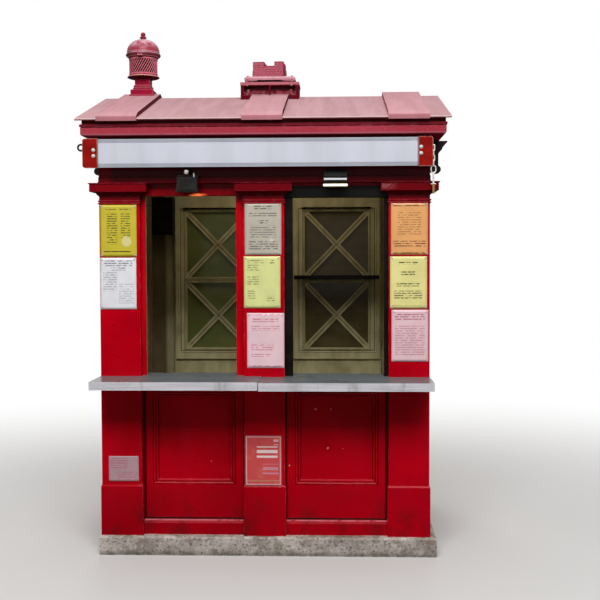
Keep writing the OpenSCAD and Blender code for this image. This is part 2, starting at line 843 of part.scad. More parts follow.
module right_counter()
    color(steel) on_site() at_front()
        counter(seam_x + counter_gap / 2, half_w + end_clear, bay_x, counter_z - counter_step);

// Sign board under the cornice

sign_back = 84;
sign_t = 18;
end_board_t = 22;
corner_r = 15;
end_board_up = 4;

module sign_panel()
    color([0.88, 0.88, 0.92]) on_site() at_front()
        block([sign_x0 + eps, -sign_back - sign_t, sign_z0], [sign_x1 - eps, -sign_back, sign_z1]);

// End board in (x, z) with its outer corners rounded; side is -1 at the left
module end_board(x, w, side)
    along_y(-sign_back - end_board_t, -sign_back)
        translate([x, sign_z0 - 3]) {
            h = sign_z1 - sign_z0 + 3 + end_board_up;
            far = side < 0 ? -w : w;
            for (z = [corner_r, h - corner_r]) translate([far - side * corner_r, z]) circle(corner_r);
            translate([min(0, far - side * corner_r), 0]) square([w - corner_r, h]);
            translate([min(0, far), corner_r]) square([w, h - 2 * corner_r]);
        }

module sign_end_boards()
    color([0.65, 0.1, 0.06]) on_site() at_front() {
        end_board(sign_x0, sign_end_left, -1);
        end_board(sign_x1, sign_end_right, 1);
    }

eye_r = 17;
eye_wire = 5.5;
eye_z = 2347;

// Iron eye at the left end, screwed to the back of the end board
module iron_eye()
    color(black) on_site() at_front()
        translate([sign_x0 - sign_end_left, -sign_back + eye_wire + eps, eye_z]) {
            translate([-14, 0, 0]) rotate([90, 0, 0]) rotate_extrude() translate([eye_r, 0]) circle(eye_wire);
            block([0, -eye_wire, -12], [34, eye_wire, 12]);
        }

module sign_battens()
    color([0.3, 0.2, 0.14]) on_site() at_front()
        for (x = [-strap_x, 0, strap_x - 20])
            block([x - 32, -sign_back, sign_z0 + 14], [x + 32, 0, sign_z1 - 10]);

// Lamps under the sign

flood_x = -429;
flood_w = 127;
flood_top = 100;
flood_y = -58;

// Flared lamp head with a rim at its open mouth, hung on a stirrup
module floodlight() {
    z0 = 2094;
    z1 = 2178;
    w0 = flood_w / 2;
    w1 = flood_top / 2;
    color(black) on_site() at_front() translate([flood_x, flood_y, 0]) {
        difference() {
            intersection() {
                along_y(-40, 40)
                    polygon([[-w0, z0], [w0, z0], [w0, z0 + 12], [w0 - 4, z0 + 14], [w1, z1], [-w1, z1],
                             [-w0 + 4, z0 + 14], [-w0, z0 + 12]]);
                along_x(-w0, w0)
                    polygon([[-38, z0], [36, z0], [36, z0 + 12], [32, z0 + 14], [20, z1], [-20, z1],
                             [-34, z0 + 14], [-38, z0 + 12]]);
            }
            block([-w0 + 8, -30, z0 - 1], [w0 - 8, 28, z0 + 18]);
        }
        for (s = [-1, 1]) {
            translate([s * (w1 + 6), 0, 0]) block([-2, -8, z0 + 30], [2, 8, z1 + 10]);
            translate([s * (w1 - 3), 0, z0 + 44]) rotate([0, 90, 0]) cylinder(h = 22, r = 7, center = true);
        }
        block([-w1 - 8, -8, z1 + 6], [w1 + 8, 8, z1 + 10]);
        translate([0, 0, z1 - 2]) cylinder(h = 44, r = 7);
        block([-14, -6, z1 + 36], [14, -flood_y, z1 + 46]);
    }
}

strip_x = 411;

// Strip lamp: a casing under the frieze with a reflector bar and a tube in front of it
module strip_lamp()
    color(black) on_site() at_front() translate([strip_x, -52, 0]) {
        along_x(-64, 64)
            polygon([[-6, 2116], [20, 2116], [20, 2216], [-2, 2216], [-16, 2182], [-16, 2150], [-6, 2146]]);
        translate([0, -14, 2129]) rotate([0, 90, 0]) cylinder(h = 136, r = 6.5, center = true);
        block([-57, -23, 2158], [57, -10, 2168]);
        block([-22, 0, 2200], [22, 52, 2216]);
    }

// Chain and hook at the right end of the sign

link_wire = 3.4;

// One oval link in the XZ plane (flat) or the YZ plane (turned), its middle at the origin
module link(long, wide, turned)
    rotate([0, 0, turned ? 90 : 0])
        rotate([90, 0, 0]) {
            r = wide / 2 - link_wire;
            s = long / 2 - wide / 2;
            for (m = [0, 1])
                mirror([0, m, 0]) translate([0, s, 0])
                    rotate_extrude(angle = 180) translate([r, 0]) circle(link_wire);
            for (k = [-1, 1])
                translate([k * r, 0, 0]) rotate([90, 0, 0]) cylinder(h = 2 * s, r = link_wire, center = true);
        }

module sign_chain() {
    x = sign_x1 + sign_end_right + 3;
    top = 2331;
    pitch = 28;
    color([0.85, 0.85, 0.85]) on_site() at_front() translate([x, -sign_back - 11, top]) {
        for (k = [0 : 3])
            translate([0, 0, -k * pitch]) link(40, 18, k % 2 == 1);
        translate([0, 0, -119]) link(46, 33, false);
        translate([0, 0, -197]) cylinder(h = 58, r = 5);
        translate([0, 0, -202]) rotate([0, 90, 0]) cylinder(h = 30, r = 3.5, center = true);
        translate([0, 0, -252]) cylinder(h = 56, r = 7);
    }
}

// Shelf across the right back window, and a cabinet in the back left corner

shelf_z = 1597;
shelf_t = 25;
shelf_d = 130;

module back_shelf()
    color(black) on_site() at_back()
        translate([-bay_x, 0, 0])
            block([-bay_w / 2 + 6, wall_back + window_d, shelf_z - shelf_t],
                  [bay_w / 2 - 6, wall_back + window_d + shelf_d, shelf_z]);

cabinet_w = 164;
cabinet_d = 130;
cabinet_z0 = 1885;
cabinet_z1 = 2138;
board_t = 12;

// Wall cabinet, open at the back where the wall closes it, with its door standing proud
module corner_cabinet() {
    x1 = half_w - wall_in - 2;
    x0 = x1 - cabinet_w;
    y0 = wall_in + eps;
    y1 = y0 + cabinet_d;
    color(black) on_site() at_back() {
        difference() {
            block([x0, y0, cabinet_z0], [x1, y1, cabinet_z1]);
            block([x0 + board_t, y0 - 1, cabinet_z0 + board_t], [x1 - board_t, y1 - board_t, cabinet_z1 - board_t]);
        }
        block([x0 + 10, y1 - 1, cabinet_z0 + 10], [x1 - 10, y1 + 8, cabinet_z1 - 10]);
    }
}

plinth();
floor();
front_left_post();
front_right_post();
back_left_post();
back_right_post();
mid_pilasters();
front_dados();
back_dados();
right_dado();
left_hatch_frame();
right_hatch_frame();
back_windows();
right_window();
window_glass();
left_door_frame();
left_door();
front_frieze();
back_frieze();
end_friezes();
front_cornice();
back_cornice();
left_pediment();
right_pediment();
end_hoods();
front_roof();
back_roof();
roof_straps();
lantern_base();
lantern_cage();
lantern_dome();
crest_pedestal();
crest_cushion();
crest_castle();
left_counter();
right_counter();
sign_panel();
sign_end_boards();
sign_battens();
sign_chain();
iron_eye();
floodlight();
strip_lamp();
back_shelf();
corner_cabinet();
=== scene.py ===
import json
import math
import random

import bmesh
import bpy
from mathutils import Matrix, Vector, noise


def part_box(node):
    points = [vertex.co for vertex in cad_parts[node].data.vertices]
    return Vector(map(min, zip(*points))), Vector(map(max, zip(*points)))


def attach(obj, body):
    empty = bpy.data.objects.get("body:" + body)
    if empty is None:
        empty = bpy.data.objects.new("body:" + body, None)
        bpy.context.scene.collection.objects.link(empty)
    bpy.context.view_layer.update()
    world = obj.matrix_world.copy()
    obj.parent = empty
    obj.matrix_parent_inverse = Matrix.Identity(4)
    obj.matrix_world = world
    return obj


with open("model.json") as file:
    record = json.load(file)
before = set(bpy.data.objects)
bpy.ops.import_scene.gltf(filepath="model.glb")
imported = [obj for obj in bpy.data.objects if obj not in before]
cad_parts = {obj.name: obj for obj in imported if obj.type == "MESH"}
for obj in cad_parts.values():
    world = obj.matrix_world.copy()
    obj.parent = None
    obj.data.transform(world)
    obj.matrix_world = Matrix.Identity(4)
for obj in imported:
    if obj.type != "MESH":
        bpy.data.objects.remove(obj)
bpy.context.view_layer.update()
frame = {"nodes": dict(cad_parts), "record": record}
nodes = frame["nodes"]
random.seed(7)

# Camera, as fitted to the photograph: metres and radians
CAMERA_AT = Vector((0.4215, -6.3249, 1.7186))
CAMERA_LENS_MM = 60.0
SENSOR_MM = 36.0
CAMERA_YAW = 0.0374
CAMERA_PITCH = 0.042
CAMERA_ROLL = -0.003

# The body in the row frame, in metres: pilaster faces, half width, depth, middles of the bays
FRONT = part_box("mid_pilasters")[0][1] + 0.052
HALF_W = 0.949
BODY_D = 1.36
BAYS = (-0.416, 0.416)

# Hollow castings, in metres: their skin, the walls, the corner posts, the middle pilasters and the ceiling
SKIN = 0.0115
WALL = 0.058
POST = 0.2235
HALF_PILASTER = 0.1055
CEILING = 2.45

# Shade under the eaves: the heights it sets in over, its top, and the front capitals in it, in metres
EAVES_SHADE = (1.98, 2.085)
EAVES_TOP = 2.408
CAPITALS = (2.098, 2.155)

# Chips on the dados (x, z, radius), and where the paint has flaked off the right capital, in metres
CHIPS = ((0.295, 0.84, 0.007), (0.384, 0.84, 0.005), (0.363, 0.611, 0.006), (0.453, 0.609, 0.005),
         (0.14, 0.511, 0.005), (-0.532, 0.742, 0.003), (-0.318, 0.533, 0.004))
FLAKED_X = (0.672, 0.778)
FLAKED_Z = (2.11, 2.138)

# Level stripes on the cornice, the dome and the pedestal: from and to in metres, tone, share.
# They are painted light: on the cornice a painted highlight on the bottom bead, painted shade on the drip and
# on the band under the roof sheet, and a pale line along the top edge that is worn paint and painted
# highlight;
# on the dome's rim painted highlights on the pale bands and painted shade on the dark one;
# on the pedestal a painted highlight along its top plate
CORNICE_STRIPES = ((2.41, 2.4235, (186, 100, 116), 0.85), (2.4585, 2.479, (108, 20, 32), 0.9),
                   (2.479, 2.4815, (168, 100, 108), 0.8), (2.4825, 2.54, (124, 34, 38), 0.9))
DOME_STRIPES = ((2.997, 3.0015, (214, 150, 158), 0.6), (3.011, 3.021, (56, 8, 18), 0.85),
                (3.026, 3.031, (214, 150, 158), 0.8))
PEDESTAL_STRIPES = ((2.8, 2.8225, (194, 113, 124), 0.85),)

# Widths of the bevels on edges that are seen, in metres, and the nodes that have them
BEVELS = {
    0.001: "floodlight front_frieze back_frieze end_friezes",
    0.0012: "strip_lamp",
    0.0015: "front_left_post front_right_post back_left_post back_right_post mid_pilasters front_dados "
            "back_dados right_dado back_windows right_window left_door crest_castle crest_cushion "
            "back_shelf corner_cabinet",
    0.002: "front_cornice back_cornice left_pediment right_pediment front_roof back_roof sign_panel "
           "end_hoods left_hatch_frame right_hatch_frame left_door_frame",
    0.003: "left_counter right_counter sign_end_boards roof_straps",
    0.006: "plinth",
}

# The back windows, in metres: size of a pane, heights of the middles of the panes and of the window
PANE_W = 0.442
PANE_H = 0.457
PANE_MIDDLES = (1.317, 1.8135)
WINDOW_MIDDLE = 1.565

# The poster and its sleeve, in metres: left, right, bottom, top
POSTER = (-0.108, 0.094, 0.408, 0.69)
SLEEVE = (-0.114, 0.1, 0.404, 0.696)
SLEEVE_RIM = 0.006

# The inner face of the back windows, and the front and back of the floodlight's opening, in metres
WINDOW_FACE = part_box("back_windows")[0][1]
LAMP_FRONT = FRONT - 0.088
LAMP_BACK = FRONT - 0.03


def linear(tone):
    """A tone (r, g, b) from 0 to 255 in linear values with alpha; anything else as it is."""
    if not isinstance(tone, tuple) or len(tone) != 3:
        return tone
    shares = [(c / 255 / 12.92) if c <= 10 else ((c / 255 + 0.055) / 1.055) ** 2.4 for c in tone]
    return (*shares, 1.0)


class Nodes:
    """Adds nodes to a node tree, and plugs sockets or plain values into them."""

    def __init__(self, tree):
        self.tree = tree

    def add(self, kind, **settings):
        node = self.tree.nodes.new(kind)
        for key, value in settings.items():
            setattr(node, key, value)
        return node

    def plug(self, socket, value):
        if isinstance(value, bpy.types.NodeSocket):
            self.tree.links.new(value, socket)
        else:
            socket.default_value = value

    def split(self, vector):
        node = self.add("ShaderNodeSeparateXYZ")
        self.plug(node.inputs[0], vector)
        return node.outputs

    def math(self, operation, a, b=0.0):
        node = self.add("ShaderNodeMath", operation=operation)
        self.plug(node.inputs[0], a)
        self.plug(node.inputs[1], b)
        return node.outputs[0]

    def ramp(self, value, low, high, start, end):
        """start at low, end at high, smooth between."""
        node = self.add("ShaderNodeMapRange", interpolation_type="SMOOTHSTEP")
        for socket, setting in zip(node.inputs, (value, low, high, start, end)):
            self.plug(socket, setting)
        return node.outputs[0]

    def either(self, first, *others):
        for other in others:
            first = self.math("MAXIMUM", first, other)
        return first


class Paint(Nodes):
    """A material under construction. Masks run from 0 to 1, and places are in the row frame, in metres."""

    def __init__(self, name, color=None):
        self.material = bpy.data.materials.new(name)
        self.material.use_nodes = True
        super().__init__(self.material.node_tree)
        self.shader = self.tree.nodes["Principled BSDF"]
        geometry = self.add("ShaderNodeNewGeometry")
        self.position = geometry.outputs["Position"]
        self.normal = geometry.outputs["Normal"]
        self.x, self.y, self.z = self.split(self.position)
        self.right, self.back, self.up = self.split(self.normal)
        self.color = linear(color)

    def plus(self, a, b):
        return self.math("ADD", a, b)

    def minus(self, a, b):
        return self.math("SUBTRACT", a, b)

    def less(self, value, share):
        return self.math("MULTIPLY", value, share)

    def both(self, first, *others):
        for other in others:
            first = self.less(first, other)
        return first

    def away(self, value, place=0.0):
        """How far a value is from a place, on either side of it."""
        return self.math("ABSOLUTE", self.minus(value, place))

    def squares(self, a, b):
        return self.plus(self.both(a, a), self.both(b, b))

    def noise(self, scale, detail=3.0, stretch=(1, 1, 1)):
        place = self.add("ShaderNodeMapping")
        place.inputs["Scale"].default_value = stretch
        self.plug(place.inputs["Vector"], self.position)
        node = self.add("ShaderNodeTexNoise")
        node.inputs["Scale"].default_value = scale
        node.inputs["Detail"].default_value = detail
        node.inputs["Roughness"].default_value = 0.55
        self.plug(node.inputs["Vector"], place.outputs[0])
        return node.outputs["Fac"]

    def band(self, value, low, high):
        """0 at low, 1 at high, smooth between; low may be the greater one."""
        if low < high:
            return self.ramp(value, low, high, 0.0, 1.0)
        return self.ramp(value, high, low, 1.0, 0.0)

    def within(self, value, low, high, soft=0.002):
        return self.both(self.band(value, low - soft, low + soft), self.band(value, high + soft, high - soft))

    def panel(self, x0, x1, z0, z1, soft_x, soft_z):
        """1 inside an upright rectangle."""
        return self.both(self.within(self.x, x0, x1, soft_x), self.within(self.z, z0, z1, soft_z))

    def patches(self, scale, detail, low, high, stretch=(1, 1, 1)):
        """Patches of noise: none of it below low, all of it above high."""
        return self.band(self.noise(scale, detail, stretch), low, high)

    def edges(self, radius, low=0.02, high=0.25):
        """1 on sharp edges, 0 on flats."""
        soft = self.add("ShaderNodeBevel", samples=4)
        soft.inputs["Radius"].default_value = radius
        dot = self.add("ShaderNodeVectorMath", operation="DOT_PRODUCT")
        self.plug(dot.inputs[0], soft.outputs[0])
        self.plug(dot.inputs[1], self.normal)
        return self.band(self.minus(1.0, dot.outputs["Value"]), low, high)

    def worn(self, radius, *patches, sharp=(0.02, 0.25)):
        """Edges, where the patches are."""
        return self.both(self.edges(radius, *sharp), self.patches(*patches))

    def upward(self, low=0.5, high=0.9):
        return self.band(self.up, low, high)

    def spots(self, places):
        """1 inside any of the round spots (x, z, radius), with ragged rims."""
        ragged = self.less(self.minus(self.noise(90.0, 2.0), 0.5), 0.014)
        found = []
        for x, z, radius in places:
            distance = self.math("SQRT", self.squares(self.minus(self.x, x), self.minus(self.z, z)))
            found.append(self.band(self.plus(distance, ragged), radius, radius * 0.7))
        return self.either(*found)

    def rules(self, spacing, low, high):
        """Level lines a spacing apart."""
        return self.band(self.math("SINE", self.less(self.z, 2 * math.pi / spacing)), low, high)

    def ease(self, factor, a, b):
        """A number between a and b."""
        node = self.add("ShaderNodeMix", data_type="FLOAT")
        for socket, value in zip((node.inputs["Factor"], node.inputs[2], node.inputs[3]), (factor, a, b)):
            self.plug(socket, value)
        return node.outputs[0]

    def blend(self, factor, a, b):
        """A colour between a and b, which are tones or sockets."""
        node = self.add("ShaderNodeMix", data_type="RGBA")
        for socket, value in zip((node.inputs["Factor"], node.inputs[6], node.inputs[7]), (factor, a, b)):
            self.plug(socket, linear(value))
        return node.outputs[2]

    def base(self, factor, a, b):
        self.color = self.blend(factor, a, b)

    def tint(self, mask, tone, share=None):
        """Lays a tone over the colour so far where the mask is, all of it or a share."""
        self.color = self.blend(mask if share is None else self.less(mask, share), self.color, tone)

    def stripes(self, levels, mask=1.0):
        """Level stripes, each (from, to, tone, share)."""
        for low, high, tone, share in levels:
            self.tint(self.both(self.within(self.z, low, high, 0.0012), mask), tone, share)

    def glow(self, tone, strength):
        self.plug(self.shader.inputs["Emission Color"], linear(tone))
        self.plug(self.shader.inputs["Emission Strength"], strength)

    def finish(self, rough, height=None, bump=0.2, depth=0.001, shine=0.5, coat=(0.0, 0.03), metal=0.0,
               alpha=1.0):
        """Sets the shader; coat is how much and how rough."""
        settings = (("Base Color", self.color), ("Roughness", rough), ("Metallic", metal), ("Alpha", alpha),
                    ("Specular IOR Level", shine), ("Coat Weight", coat[0]), ("Coat Roughness", coat[1]))
        for name, value in settings:
            self.plug(self.shader.inputs[name], value)
        if height is not None:
            node = self.add("ShaderNodeBump")
            node.inputs["Strength"].default_value = bump
            node.inputs["Distance"].default_value = depth
            self.plug(node.inputs["Height"], height)
            self.plug(self.shader.inputs["Normal"], node.outputs[0])
        return self.material


def inside(p):
    """1 on what faces the room, inside the castings and in the hollows behind their faces."""
    edge = 0.0005
    across = p.away(p.x)
    along = p.away(p.y, FRONT + BODY_D / 2)

    def under(value, limit):
        return p.band(value, limit, limit - edge)

    def over(value, limit):
        return p.band(value, limit, limit + edge)

    within_skin = p.both(under(across, HALF_W - SKIN), under(along, BODY_D / 2 - SKIN))
    past_end_wall = p.either(under(across, HALF_W - WALL), over(along, BODY_D / 2 - POST))
    past_long_wall = p.either(under(along, BODY_D / 2 - WALL), over(across, HALF_W - POST),
                              under(across, HALF_PILASTER))
    return p.both(within_skin, past_end_wall, past_long_wall, p.band(p.z, CEILING + 0.01, CEILING))


def cream(p):
    """Cream paint with an olive cast, grubby in patches, and dark brown along the left end as painted shade
    in that corner.
    """
    color = p.blend(p.patches(24, 4, 0.3, 0.7, (0.6, 0.6, 0.2)), (190, 182, 136), (216, 208, 164))
    color = p.blend(p.less(p.patches(6, 5, 0.45, 0.75), 0.5), color, (136, 126, 86))
    # Painted shade along the left end
    return p.blend(p.less(p.band(p.x, -0.78, -0.81), 0.75), color, (70, 30, 20))


def red_gloss(name="cast_red", dark=(165, 0, 17), light=(207, 0, 25), dust=0.5, stripes=(), marks=None,
              wear=0.6):
    """Old gloss paint on cast iron: brush marks, chips, dust on ledges, splashes near the ground, painted
    shade under the eaves, and pale edges that are worn paint and painted highlight.
    """
    p = Paint(name)
    p.base(p.patches(1.7, 3, 0.25, 0.75), dark, light)
    p.tint(p.patches(6, 4, 0.5, 0.8, (3, 3, 0.3)), (184, 14, 42), 0.3)
    # Painted shade under the eaves, a little lighter on the capitals and lightest on the left one
    eaves = p.both(p.band(p.z, *EAVES_SHADE), p.band(p.z, EAVES_TOP, EAVES_TOP - 0.004))
    capital = p.ease(p.band(p.x, -0.6, -0.3), 0.79, 0.88)
    p.tint(p.both(eaves, p.ease(p.within(p.z, *CAPITALS, 0.005), 0.92, capital)), (88, 0, 11))
    p.tint(p.both(p.upward(), p.ease(eaves, dust, dust * 0.4)), (196, 104, 114))
    # Level stripes of painted highlight and shade on the upright faces
    p.stripes(stripes, p.band(p.away(p.up), 0.85, 0.6))
    p.tint(p.band(p.z, 0.55, 0.35), (112, 0, 15), 0.25)
    splashes = p.both(p.band(p.z, 0.5, 0.1), p.patches(7, 5, 0.4, 0.7))
    p.tint(splashes, (70, 20, 20), 0.6)
    rust = p.both(p.patches(38, 5, 0.66, 0.72), p.patches(3.1, 2, 0.5, 0.62))
    p.tint(rust, (52, 12, 8), 0.6)
    # Pale edges: worn paint, and painted highlights along them; less of both under the eaves
    edge = p.both(p.worn(0.004, 30, 5, 0.46, 0.62), p.ease(eaves, 1, 0.4))
    p.tint(edge, (206, 140, 148), wear)
    p.tint(p.both(p.spots(CHIPS), p.band(p.y, FRONT + 0.3, FRONT + 0.2)), (214, 178, 178), 0.7)
    flakes = p.both(p.band(p.x, FLAKED_X[0] - 0.01, FLAKED_X[0] + 0.01),
                    p.band(p.x, FLAKED_X[1], FLAKED_X[0] + 0.02),
                    p.within(p.z, *FLAKED_Z, 0.008), p.band(p.y, FRONT - 0.005, FRONT - 0.015),
                    p.patches(230, 3, 0.48, 0.62, (1, 1, 1.6)))
    p.tint(flakes, (214, 150, 158), 0.6)
    if marks:
        marks(p)
    p.tint(inside(p), cream(p))
    rough = p.ease(p.patches(9, 4, 0.3, 0.7), 0.16, 0.32)
    rough = p.ease(p.either(splashes, edge), rough, 0.6)
    height = p.plus(p.less(p.noise(60), 0.3), p.noise(7, 3, (1, 1, 0.3)))
    return p.finish(rough, height, shine=0.0, coat=(0.1, 0.12))


def roof_paint(name="roof_red", dark=(188, 146, 150), light=(202, 160, 164), worn=0.7, coat=0.0, stripes=(),
               marks=None):
    """Red roof paint gone chalky and pale, with runs down the slope and dark specks; its pale tone is partly
    a painted sheen of the sky, and the sides and undersides are in painted shade.
    """
    p = Paint(name)
    p.base(p.patches(6, 5, 0.25, 0.75, (3, 0.35, 0.35)), dark, light)
    p.tint(p.patches(2, 4, 0.45, 0.75), tuple(c * 0.9 for c in dark), 0.2)
    p.tint(p.worn(0.005, 24, 4, 0.4, 0.62), (214, 182, 184), worn)
    p.tint(p.patches(110, 2, 0.68, 0.74), (110, 56, 60), 0.4)
    # Painted shade: darker on the sides, darker still on the undersides
    p.tint(p.band(p.up, 0.75, 0.3), (150, 50, 66), 0.5)
    p.tint(p.band(p.up, -0.3, -0.8), (96, 22, 30))
    p.stripes(stripes)
    if marks:
        marks(p)
    height = p.plus(p.less(p.noise(45), 0.5), p.noise(5, 2))
    return p.finish(p.ease(p.noise(8), 0.3, 0.5), height, depth=0.0012, shine=0.0, coat=(coat, 0.34))


def red_timber(name="door_paint", painted_lamplight=None):
    """The same red on timber, a little duller, with painted shade under the eaves; the lamplight argument,
    (x, z, half width, half height), places a painted glow of the floodlight's light.
    """
    p = Paint(name)
    grain = p.noise(30, 4, (1, 1, 0.12))
    p.base(p.band(grain, 0.3, 0.7), (172, 0, 17), (212, 0, 25))
    # Painted shade at the top, under the eaves
    p.tint(p.band(p.z, 2.03, 2.07), (88, 0, 11), 0.7)
    p.tint(p.worn(0.004, 26, 4, 0.46, 0.62), (190, 128, 130), 0.6)
    p.tint(p.band(p.z, 0.4, 0.12), (64, 22, 20), 0.4)
    p.tint(p.both(inside(p), p.band(p.right, -0.8, -0.4)), cream(p))
    # A painted glow where the floodlight lights the timber
    if painted_lamplight:
        x, z, half_x, half_z = painted_lamplight
        away = p.squares(p.less(p.minus(p.x, x), 1 / half_x), p.less(p.minus(p.z, z), 1 / half_z))
        lit = p.both(p.band(away, 1.1, 0.1), p.patches(60, 3, 0.3, 0.62, (0.6, 1, 1.6)),
                     p.band(p.back, 0.2, -0.2))
        p.glow((255, 128, 62), p.less(lit, 1.1))
    return p.finish(p.ease(grain, 0.24, 0.4), grain, shine=0.0, coat=(0.1, 0.15))


def black_timber():
    """Black paint on timber, with a thin red line over the lintel."""
    p = Paint("black_timber")
    grain = p.noise(26, 4, (0.2, 1, 1))
    p.base(p.band(grain, 0.35, 0.7), (10, 9, 8), (22, 20, 18))
    p.tint(p.upward(), (64, 60, 58), 0.4)
    p.tint(p.both(p.band(p.z, 2.132, 2.1335), p.band(p.y, FRONT + 0.046, FRONT + 0.0445)), (150, 20, 36))
    return p.finish(p.ease(grain, 0.4, 0.6), grain, shine=0.05, coat=(0.08, 0.2))


def window_paint():
    p = Paint("window_paint")
    p.color = cream(p)
    # Pale edges: worn paint and painted highlights
    p.tint(p.worn(0.004, 20, 4, 0.35, 0.55), (236, 230, 190), 0.7)
    return p.finish(0.45, p.noise(24, 4, (0.6, 0.6, 0.2)), shine=0.3)


def pane_glass():
    """Painted-over glass with a shine; on the room side, green at the left and brown at the right."""
    p = Paint("glass")
    brush = p.noise(16, 4, (0.4, 0.4, 1))
    p.base(p.band(brush, 0.3, 0.7), (112, 102, 62), (134, 124, 82))
    p.tint(p.patches(5, 5, 0.45, 0.7), (88, 84, 54), 0.5)
    to_room = p.band(p.back, -0.5, -0.9)
    p.tint(p.both(to_room, p.band(p.x, 0.1, -0.1)), (102, 130, 62), 0.5)
    p.tint(p.both(to_room, p.band(p.x, -0.1, 0.1)), (60, 44, 22), 0.55)
    return p.finish(0.2, brush, 0.05, shine=0.1, coat=(0.12, 0.05))


def concrete():
    """Worn concrete with grit, moss on its ledges, rusty stains down its faces and dirt along the ground."""
    p = Paint("concrete")
    p.base(p.patches(9, 6, 0.3, 0.7), (152, 141, 133), (205, 194, 187))
    grit = p.noise(70, 4)
    p.tint(p.band(grit, 0.55, 0.66), (84, 76, 66), 0.75)
    p.tint(p.band(grit, 0.42, 0.34), (222, 214, 204), 0.6)
    damp = p.either(p.upward(0.4, 0.8), p.band(p.z, 0.05, 0.0), p.patches(3, 3, 0.55, 0.7))
    p.tint(p.both(p.patches(11, 5, 0.46, 0.6), damp), (92, 92, 56), 0.6)
    p.tint(p.both(p.patches(8, 5, 0.52, 0.66), p.band(p.back, -0.5, -0.9)), (112, 84, 62), 0.45)
    p.tint(p.band(p.z, 0.035, 0.0), (58, 54, 46), 0.55)
    p.tint(p.worn(0.012, 16, 4, 0.35, 0.55, sharp=(0.01, 0.2)), (222, 214, 204), 0.6)
    return p.finish(0.85, p.plus(p.less(grit, 0.5), p.noise(22, 5)), 0.9, 0.008)


def screed():
    p = Paint("floor_screed")
    p.base(p.patches(5, 5, 0.3, 0.7), (86, 80, 72), (120, 112, 102))
    return p.finish(0.7, p.noise(80), 0.3, 0.002)


def brushed_steel():
    """Counter steel, dark blue-grey on top as a painted reflection, with scratches along it and drips down
    its lip.
    """
    p = Paint("counter_steel")
    brush = p.noise(60, 3, (0.06, 2, 2))
    stain = p.noise(4.5, 5)
    p.base(p.band(brush, 0.3, 0.7), (198, 196, 202), (222, 220, 226))
    p.tint(p.band(stain, 0.5, 0.75), (146, 142, 140), 0.5)
    # The top dark blue-grey: a painted reflection
    p.tint(p.upward(0.8, 0.97), (68, 83, 86), 0.85)
    drips = p.patches(14, 4, 0.55, 0.7, (1, 1, 0.15))
    p.tint(p.both(p.band(p.back, -0.5, -0.9), drips), (120, 112, 106), 0.4)
    height = p.plus(p.less(brush, 0.3), p.noise(3, 2))
    return p.finish(p.ease(p.band(stain, 0.3, 0.7), 0.26, 0.42), height, 0.12, 0.002, shine=0.3, metal=0.1)


def bright_steel():
    """Bright steel, and brass below the last link of the chain."""
    p = Paint("bright_steel")
    wear = p.noise(60, 4)
    p.base(p.band(wear, 0.4, 0.7), (238, 236, 232), (206, 200, 192))
    p.tint(p.band(p.z, 2.131, 2.129), (150, 118, 62))
    return p.finish(p.ease(wear, 0.25, 0.45), wear, 0.1, 0.0005, shine=0.6, metal=0.4)


def sign_white():
    """White board with faint grey runs, and a thin plain chequer along the top and bottom edge."""
    (left, _, low), (right, _, high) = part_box("sign_panel")
    square = 0.0065
    margin = 0.002
    strip = margin + 3 * square
    p = Paint("sign_white")
    p.base(p.patches(7, 4, 0.35, 0.75, (1, 1, 0.2)), (204, 206, 218), (192, 194, 204))
    flat = p.add("ShaderNodeCombineXYZ")
    for socket, value in zip(flat.inputs, (p.x, p.minus(p.z, low), 0.003)):
        p.plug(socket, value)
    chequer = p.add("ShaderNodeTexChecker")
    chequer.inputs["Scale"].default_value = 1 / square
    p.plug(chequer.inputs["Vector"], flat.outputs[0])
    rows = p.either(p.within(p.z, high - strip, high - margin, 0.0006),
                    p.within(p.z, low + margin, low + strip, 0.0006))
    p.tint(p.both(rows, p.band(p.back, -0.8, -0.9), chequer.outputs["Fac"]), (70, 78, 88))
    rim = p.either(p.band(p.x, left + 0.005, left + 0.003), p.band(p.x, right - 0.007, right - 0.005))
    p.tint(rim, (74, 50, 110), 0.75)
    p.tint(p.worn(0.003, 30, 4, 0.45, 0.6), (150, 140, 128), 0.5)
    return p.finish(0.35, p.noise(40), 0.08)


def sign_orange():
    p = Paint("sign_orange")
    grain = p.noise(16, 4, (0.3, 1, 1))
    p.base(p.band(grain, 0.3, 0.7), (120, 4, 0), (156, 14, 2))
    p.tint(p.worn(0.006, 22, 4, 0.25, 0.45, sharp=(0.03, 0.2)), (220, 190, 168), 0.9)
    return p.finish(0.4, grain, 0.15, shine=0.04, coat=(0.12, 0.15))


def raw_timber():
    p = Paint("raw_timber")
    grain = p.noise(22, 5, (1, 1, 0.12))
    p.base(p.band(grain, 0.3, 0.7), (92, 66, 46), (134, 102, 72))
    return p.finish(0.75, grain, 0.3)


def lamp_black():
    """Black lamp cases; the strip lamp's tube and reflector bar are pale."""
    p = Paint("lamp_black")
    wear = p.noise(40, 4)
    p.base(p.band(wear, 0.4, 0.7), (14, 13, 13), (30, 28, 27))
    p.tint(p.edges(0.003), (84, 86, 84), 0.4)
    strip = p.both(p.band(p.x, 0.2, 0.21), p.band(p.y, FRONT - 0.0586, FRONT - 0.0593))
    tube = p.both(strip, p.band(p.z, 2.1405, 2.1395))
    bar = p.both(strip, p.within(p.z, 2.1575, 2.1685, 0.0004), p.band(p.y, FRONT - 0.061, FRONT - 0.0625))
    p.tint(bar, (222, 224, 226))
    p.tint(tube, (255, 240, 214))
    p.glow((255, 232, 196), p.less(tube, 1.2))
    return p.finish(0.55, wear, 0.1, 0.0005, shine=0.1)


